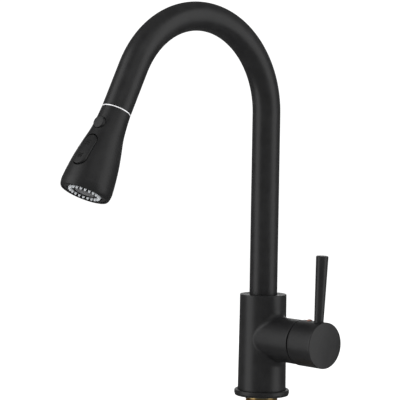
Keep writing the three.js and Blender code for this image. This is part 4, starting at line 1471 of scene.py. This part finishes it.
    def oval_face(self, shape: BMesh, half_length: float, half_width: float, height: float) -> None:
        """Adds a flat oval to a shape: a circle whose halves are drawn apart along the head."""
        bmesh.ops.create_circle(shape, cap_ends=True, radius=half_width * MM, segments=MEDIUM)
        straight = (half_length - half_width) * MM
        for vert in shape.verts:
            x, z = vert.co.x, vert.co.y
            z += straight if z > NEAR else -straight if z < -NEAR else 0
            vert.co = (x, height * MM, self.rocker_station * MM + z)
        sides = [e for e in shape.edges if e.calc_length() > straight]
        bmesh.ops.subdivide_edges(shape, edges=sides, cuts=self.rocker_cuts)

    def rocker(self) -> None:
        """Makes the rocker: an oval cap that follows the head's curve, with two raised marks."""
        made = bmesh.new()
        self.oval_face(made, self.rocker_half_length, self.rocker_half_width, 0)
        foot = made.faces[:][0]
        walls = bmesh.ops.extrude_face_region(made, geom=[foot])["geom"]
        top = next(g for g in walls if isinstance(g, bmesh.types.BMFace))
        for vert in top.verts:
            vert.co.y = self.rocker_thickness * MM
        for step in self.rocker_rings:
            bmesh.ops.inset_region(made, faces=[top], thickness=step * MM, use_even_offset=True)
        bmesh.ops.triangulate(made, faces=[top])
        half_floor = self.rocker_thickness / 2 * MM
        for vert in made.verts:
            above = vert.co.y > half_floor
            vert.co.y = self.rocker_height(vert.co.x / MM, vert.co.z / MM, above) * MM
        bmesh.ops.recalc_face_normals(made, faces=made.faces[:])
        depth = self.radius_at(self.rocker_station) - self.rocker_pivot_depth
        pivot = Vector((0, depth, self.rocker_station)) * MM
        tilt = (
            Matrix.Translation(pivot) @ Matrix.Rotation(math.radians(self.rocker_tilt), 4, "X")
            @ Matrix.Translation(-pivot)
        )
        marks = merged([*self.spray_mark(), *self.blade_mark()])
        cap, marks = self.placed(moved(made, tilt)), self.placed(moved(marks, tilt))
        finish_piece("rocker_cap", cap, BLACK, Body.ROCKER, ["rocker_button"], 60, False)
        finish_piece("rocker_marks", marks, ICON, Body.ROCKER, weigh=False)

    def rocker_height(self, across: float, station: float, above: bool) -> float:
        """How far from the head's axis the rocker's skin is.

        Args:
            across: Distance to one side.
            station: Distance down the head.
            above: True for its outside, False for its inside.

        Returns:
            The distance, in millimetres.
        """
        straight = self.rocker_half_length - self.rocker_half_width
        past = max(abs(station - self.rocker_station) - straight, 0)
        from_edge = self.rocker_half_width - math.hypot(across, past)
        surface = self.radius_at(station) + self.rocker_proud
        if not above:
            surface -= self.rocker_thickness
        height = math.sqrt(max(surface**2 - across**2, 1))
        roll = self.rocker_edge
        if above and from_edge < roll:
            short = roll - max(from_edge, 0)
            height -= roll - math.sqrt(max(roll**2 - short**2, 0))
        return height

    def mark(
        self, across: float, station: float, size: tuple[float, float], turn: float = 0
    ) -> BMesh:
        """One small raised bar on the rocker.

        Args:
            across: Where its middle is to one side.
            station: Where its middle is down the head.
            size: Its width across the head and its length along it.
            turn: How far it is turned, in degrees.

        Returns:
            The bar.
        """
        half_width, half_length = size[0] / 2, size[1] / 2
        made = box(
            (-half_width, -self.mark_sunk, -half_length), (half_width, self.mark_proud, half_length)
        )
        soften(made, made.edges[:], self.mark_edge, 1)
        moved(made, Matrix.Rotation(math.radians(turn), 4, "Y"))
        lift = self.rocker_height(across, station, True)
        return shifted(made, across, lift, station)

    def spray_mark(self) -> list[BMesh]:
        """Two rows of drops that fan out under a bar, for the spray."""
        at = self.rocker_station - self.spray_mark_up
        drops = [
            self.mark(side * spread, at + down, self.drop_size, -side * self.drop_turn)
            for down, spread in self.drop_rows for side in self.drop_places
        ]
        return [self.mark(0, at, self.mark_bar), *drops]

    def blade_mark(self) -> list[BMesh]:
        """A bar over three long lines, for the straight stream."""
        at = self.rocker_station + self.blade_mark_down
        lines = [self.mark(x, at + self.line_down, self.line_size) for x in self.line_places]
        return [self.mark(0, at, self.mark_bar), *lines]

    def pause(self) -> None:
        """Makes the round pause button, softly domed."""
        top = self.radius_at(self.pause_station) + self.pause_proud
        foot = top - self.pause_thickness
        radius = self.pause_radius
        steps, edge, dome = self.pause_roll_steps, self.pause_edge, self.pause_dome
        roll = [
            Corner(
                radius - edge + edge * math.cos(math.pi / 2 * i / steps),
                top - dome - edge + edge * math.sin(math.pi / 2 * i / steps),
            )
            for i in range(steps + 1)
        ]
        crown = [Corner(radius * share, top - dome * share**2) for share in (0.7, 0.45, 0.2)]
        stem, tip = self.plunger_radius, foot - self.plunger_length
        shape = turned([
            Corner(0, tip), Corner(stem, tip, self.pause_foot_edge), Corner(stem, foot),
            Corner(radius, foot, self.pause_foot_edge), *roll, *crown, Corner(0, top),
        ], MEDIUM)
        piece = self.placed(shifted(moved(shape, ALONG_Y), z=self.pause_station))
        finish_piece("pause_button_cap", piece, BLACK, Body.PAUSE, ["pause_button"], 50)
        self.return_spring(foot - self.spring_gap)

    def return_spring(self, high: float) -> None:
        """Makes the coil under the pause button.

        Args:
            high: How far from the head's axis its outer end is.
        """
        low = self.inlet_neck + self.spring_gap
        per_turn = self.spring_steps
        steps = self.spring_turns * per_turn
        slope = math.atan2(high - low, TAU * self.spring_turns * self.spring_radius)
        out = Matrix.Translation((self.spring_radius * MM, 0, 0))
        along_coil = out @ Matrix.Rotation(math.pi + slope, 4, "X")
        frames = []
        for i in range(steps + 1):
            middle = Vector((0, low + (high - low) * i / steps, self.pause_station)) * MM
            turn = Matrix.Rotation(TAU * i / per_turn, 4, "Y")
            frames.append(Matrix.Translation(middle) @ turn @ along_coil)
        coil = self.placed(swept(self.spring_wire, frames, 10))
        piece = finish_piece("pause_return_spring", coil, STEEL, None, ["pause_spring"], weigh=False)
        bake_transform(piece)

    def face(self) -> None:
        """Makes the spray face, with its groove for the nozzles."""
        outer, inner = self.nozzle_outer + self.gap, self.nozzle_inner - self.gap
        hole = self.aerator_radius + self.gap
        shape = turned([
            Corner(hole, self.face_from), Corner(self.face_radius, self.face_from),
            Corner(self.face_radius, self.face_end, 0.4), Corner(outer, self.face_end, 0.2),
            Corner(outer, self.groove_from), Corner(inner, self.groove_from),
            Corner(inner, self.face_end), Corner(hole, self.face_end),
        ])
        finish_piece("spray_face_disc", self.placed(shape), SHINY_BLACK, Body.HEAD, ["spray_face"])

    def nozzles(self) -> None:
        """Makes the clear rubbery nozzles, and the web between them that lies deeper."""
        top = self.face_end - self.web_sunk
        web = turned([
            Corner(self.nozzle_inner, self.groove_from + self.gap),
            Corner(self.nozzle_outer, self.groove_from + self.gap),
            Corner(self.nozzle_outer, top, 0.3), Corner(self.nozzle_inner, top, 0.3),
        ])
        finish_piece("nozzle_web", self.placed(web), WEB, Body.HEAD, ["nozzle_ring"])
        circle = (self.nozzle_inner + self.nozzle_outer) / 2
        radius, tip = self.nozzle_radius, self.face_end + self.nozzle_proud
        nibs = []
        for i in range(self.nozzle_count):
            nib = turned([
                Corner(0, top - 1), Corner(radius * 1.2, top - 1), Corner(radius * 1.15, top),
                Corner(radius * 1.02, self.face_end - 0.2), Corner(radius * 0.72, tip - 0.25),
                Corner(radius * 0.56, tip), Corner(radius * self.jet, tip),
                Corner(radius * self.jet, tip - self.jet_depth), Corner(0, tip - self.jet_depth),
            ], 16)
            angle = TAU * i / self.nozzle_count
            nibs.append(shifted(nib, circle * math.cos(angle), circle * math.sin(angle)))
        finish_piece(
            "nozzle_tips", self.placed(merged(nibs)), SILICONE, Body.HEAD, ["nozzle_ring"], 40, False
        )

    def aerator(self) -> None:
        """Makes the aerator: its housing and the fine screen inside."""
        low, high = self.aerator_from, self.aerator_end
        outer, inner = self.aerator_radius, self.aerator_radius - self.aerator_wall
        housing = turned([
            Corner(inner, low), Corner(outer, low), Corner(outer, high, 0.3), Corner(inner + 0.5, high),
            Corner(inner, high - 0.8),
        ])
        finish_piece("aerator_sleeve", self.placed(housing), SHINY_BLACK, Body.HEAD, ["aerator_housing"])
        screen = bmesh.new()
        radius, cells = inner - self.gap, self.screen_cells
        bmesh.ops.create_grid(screen, x_segments=cells, y_segments=cells, size=radius * MM)
        limit = (radius - self.screen_trim) * MM
        outside = [f for f in screen.faces if f.calc_center_median().length > limit]
        bmesh.ops.delete(screen, geom=outside, context="FACES")
        bmesh.ops.wireframe(
            screen, faces=screen.faces[:], thickness=self.screen_wire * MM, offset=0,
            use_replace=True, use_boundary=True, use_even_offset=True,
        )
        band = tube(radius, radius - self.band_wall, *self.band, 0.1, MEDIUM)
        shape = shifted(merged([screen, band]), z=self.screen_at)
        finish_piece("aerator_screen", self.placed(shape), GREY, Body.HEAD, ["aerator_mesh"], 30, False)


# ---- pieces that the frame shows itself ----
@dataclass
class FrameParts:
    """The frame's own nodes that stay in sight, each with its finish."""

    finishes: dict[str, Finish] = field(default_factory=lambda: {
        "valve_manifold": BRASS, "inlet_hot": BRASS, "inlet_cold": BRASS, "hose_outlet": BRASS,
        "cartridge_seal": RUBBER, "cartridge_housing": WHITE, "fixed_disc": CERAMIC,
        "moving_disc": CERAMIC, "disc_carrier": WHITE, "cartridge_turntable": WHITE,
        "stem_pivot_pin": STEEL, "valve_stem": BRASS, "bonnet_nut": BRASS,
        "handle_set_screw": STEEL, "spout_bush_lower": GREY, "spout_seal_ring": RUBBER,
        "spout_set_screw": STEEL, "docking_collar": GREY, "dock_spigot": GREY,
        "hose_connector": BRASS, "check_valve": WHITE, "head_waterway": GREY,
        "diverter_spool": WHITE, "rocker_pin": STEEL,
        "face_seal_ring": RUBBER,
    })

    def build(self) -> None:
        """Gives every node that still shows its finish."""
        for name, finish in self.finishes.items():
            node = frame["nodes"][name]
            node.data.materials.clear()
            node.data.materials.append(finish.build())
            LOG.info("%s: %s", name, finish.name)


# ---- studio ----
@dataclass
class Studio:
    """The floor, the lights and the camera, in metres."""

    floor_radius: float = 9.0
    floor_drop: float = 0.0006
    place: Vector = field(default_factory=lambda: Vector((1.1663, -1.1498, 0.2708)))
    target: Vector = field(default_factory=lambda: Vector((-0.09915, 0.0, 0.1966)))
    roll: float = 0.902
    lens: float = 143.55
    aim: Vector = field(default_factory=lambda: Vector((0, -0.08, 0.2)))  # of every light
    side_angle: float = 72.0
    side_distance: float = 1.5
    side_height: float = 0.5
    side_size: tuple[float, float] = (1.15, 2.5)
    left_power: float = 11.2
    right_power: float = 9.0
    top_size: tuple[float, float] = (1.2, 1.2)
    top_power: float = 1.8
    back_size: tuple[float, float] = (1.6, 0.4)
    back_power: float = 2.2

    def build(self) -> None:
        """Makes the floor, the lights, the sky and the camera."""
        self.floor()
        self.sky()
        sides = (
            ("left_softbox", -self.side_angle, self.left_power),
            ("right_softbox", self.side_angle, self.right_power),
        )
        for name, angle, power in sides:
            self.softbox(name, angle, self.side_height, self.side_size, power)
        self.softbox("top_softbox", 20, 1.5, self.top_size, self.top_power)
        self.softbox("back_softbox", 180, 0.52, self.back_size, self.back_power)
        self.camera()
        bpy.context.scene.view_settings.view_transform = "Standard"

    def floor(self) -> None:
        """Makes the plain pale floor, just under the shank's end."""
        shape = bmesh.new()
        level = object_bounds()[0].z - self.floor_drop
        bmesh.ops.create_circle(
            shape, cap_ends=True, radius=self.floor_radius, segments=96,
            matrix=Matrix.Translation((0, 0, level)),
        )
        mesh = bpy.data.meshes.new("floor")
        shape.to_mesh(mesh)
        shape.free()
        graph = Graph("pale_floor")
        colour = graph.colours(graph.noise(3), (0.3, (0.93, 0.93, 0.93)), (0.7, (0.94, 0.94, 0.94)))
        graph.link(colour, graph.shader.inputs["Base Color"])
        graph.shader.inputs["Roughness"].default_value = 0.9
        graph.shader.inputs["Specular IOR Level"].default_value = 0.0
        mesh.materials.append(graph.material)
        floor = bpy.data.objects.new("floor", mesh)
        floor.visible_glossy = False
        bpy.context.scene.collection.objects.link(floor)
        floor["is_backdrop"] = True

    def sky(self) -> None:
        """Makes the white surround, which the gloss sees much dimmer."""
        world = bpy.data.worlds.new("surround")
        world.use_nodes = True
        nodes, links = world.node_tree.nodes, world.node_tree.links
        paths = nodes.new("ShaderNodeLightPath")
        strength = nodes.new("ShaderNodeMapRange")
        strength.inputs["To Min"].default_value = 1.12
        strength.inputs["To Max"].default_value = 0.12
        links.new(paths.outputs["Is Glossy Ray"], strength.inputs["Value"])
        links.new(strength.outputs["Result"], nodes["Background"].inputs["Strength"])
        nodes["Background"].inputs["Color"].default_value = (1, 1, 1, 1)
        bpy.context.scene.world = world

    def softbox(
        self, name: str, angle: float, height: float, size: tuple[float, float], power: float
    ) -> None:
        """Hangs one soft light that faces the faucet.

        Args:
            name: The light's name.
            angle: Its angle from the camera's side, in degrees.
            height: How high its middle is.
            size: Its width and height.
            power: Its power, in watts.
        """
        data = bpy.data.lights.new(name, "AREA")
        data.shape = "RECTANGLE"
        data.size, data.size_y = size
        data.energy = power
        made = bpy.data.objects.new(name, data)
        bpy.context.scene.collection.objects.link(made)
        centre = self.aim
        outwards = self.place - self.target
        outwards.z = 0
        outwards.normalize()
        outwards.rotate(Quaternion((0, 0, 1), math.radians(angle)))
        made.location = centre + outwards * self.side_distance + Vector((0, 0, height - centre.z))
        made.rotation_euler = (centre - made.location).to_track_quat("-Z", "Y").to_euler()

    def camera(self) -> None:
        """Makes the camera."""
        data = bpy.data.cameras.new("camera")
        data.lens = self.lens
        data.sensor_width = 36.0
        data.clip_start, data.clip_end = 0.05, 60.0
        made = bpy.data.objects.new("camera", data)
        bpy.context.scene.collection.objects.link(made)
        aim = (self.target - self.place).to_track_quat("-Z", "Y")
        made.rotation_mode = "QUATERNION"
        made.rotation_quaternion = aim @ Quaternion((0, 0, 1), math.radians(self.roll))
        made.location = self.place
        bpy.context.scene.camera = made


def main() -> None:
    """Builds the faucet in order."""
    logging.basicConfig(level=logging.INFO, format="%(message)s")
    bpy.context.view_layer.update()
    for build in (DeckMount, ValveBody, Handle, Spout, SprayHead, FrameParts, Studio):
        LOG.info("-- %s", build.__name__)
        build().build()


if __name__ == "__main__":
    main()
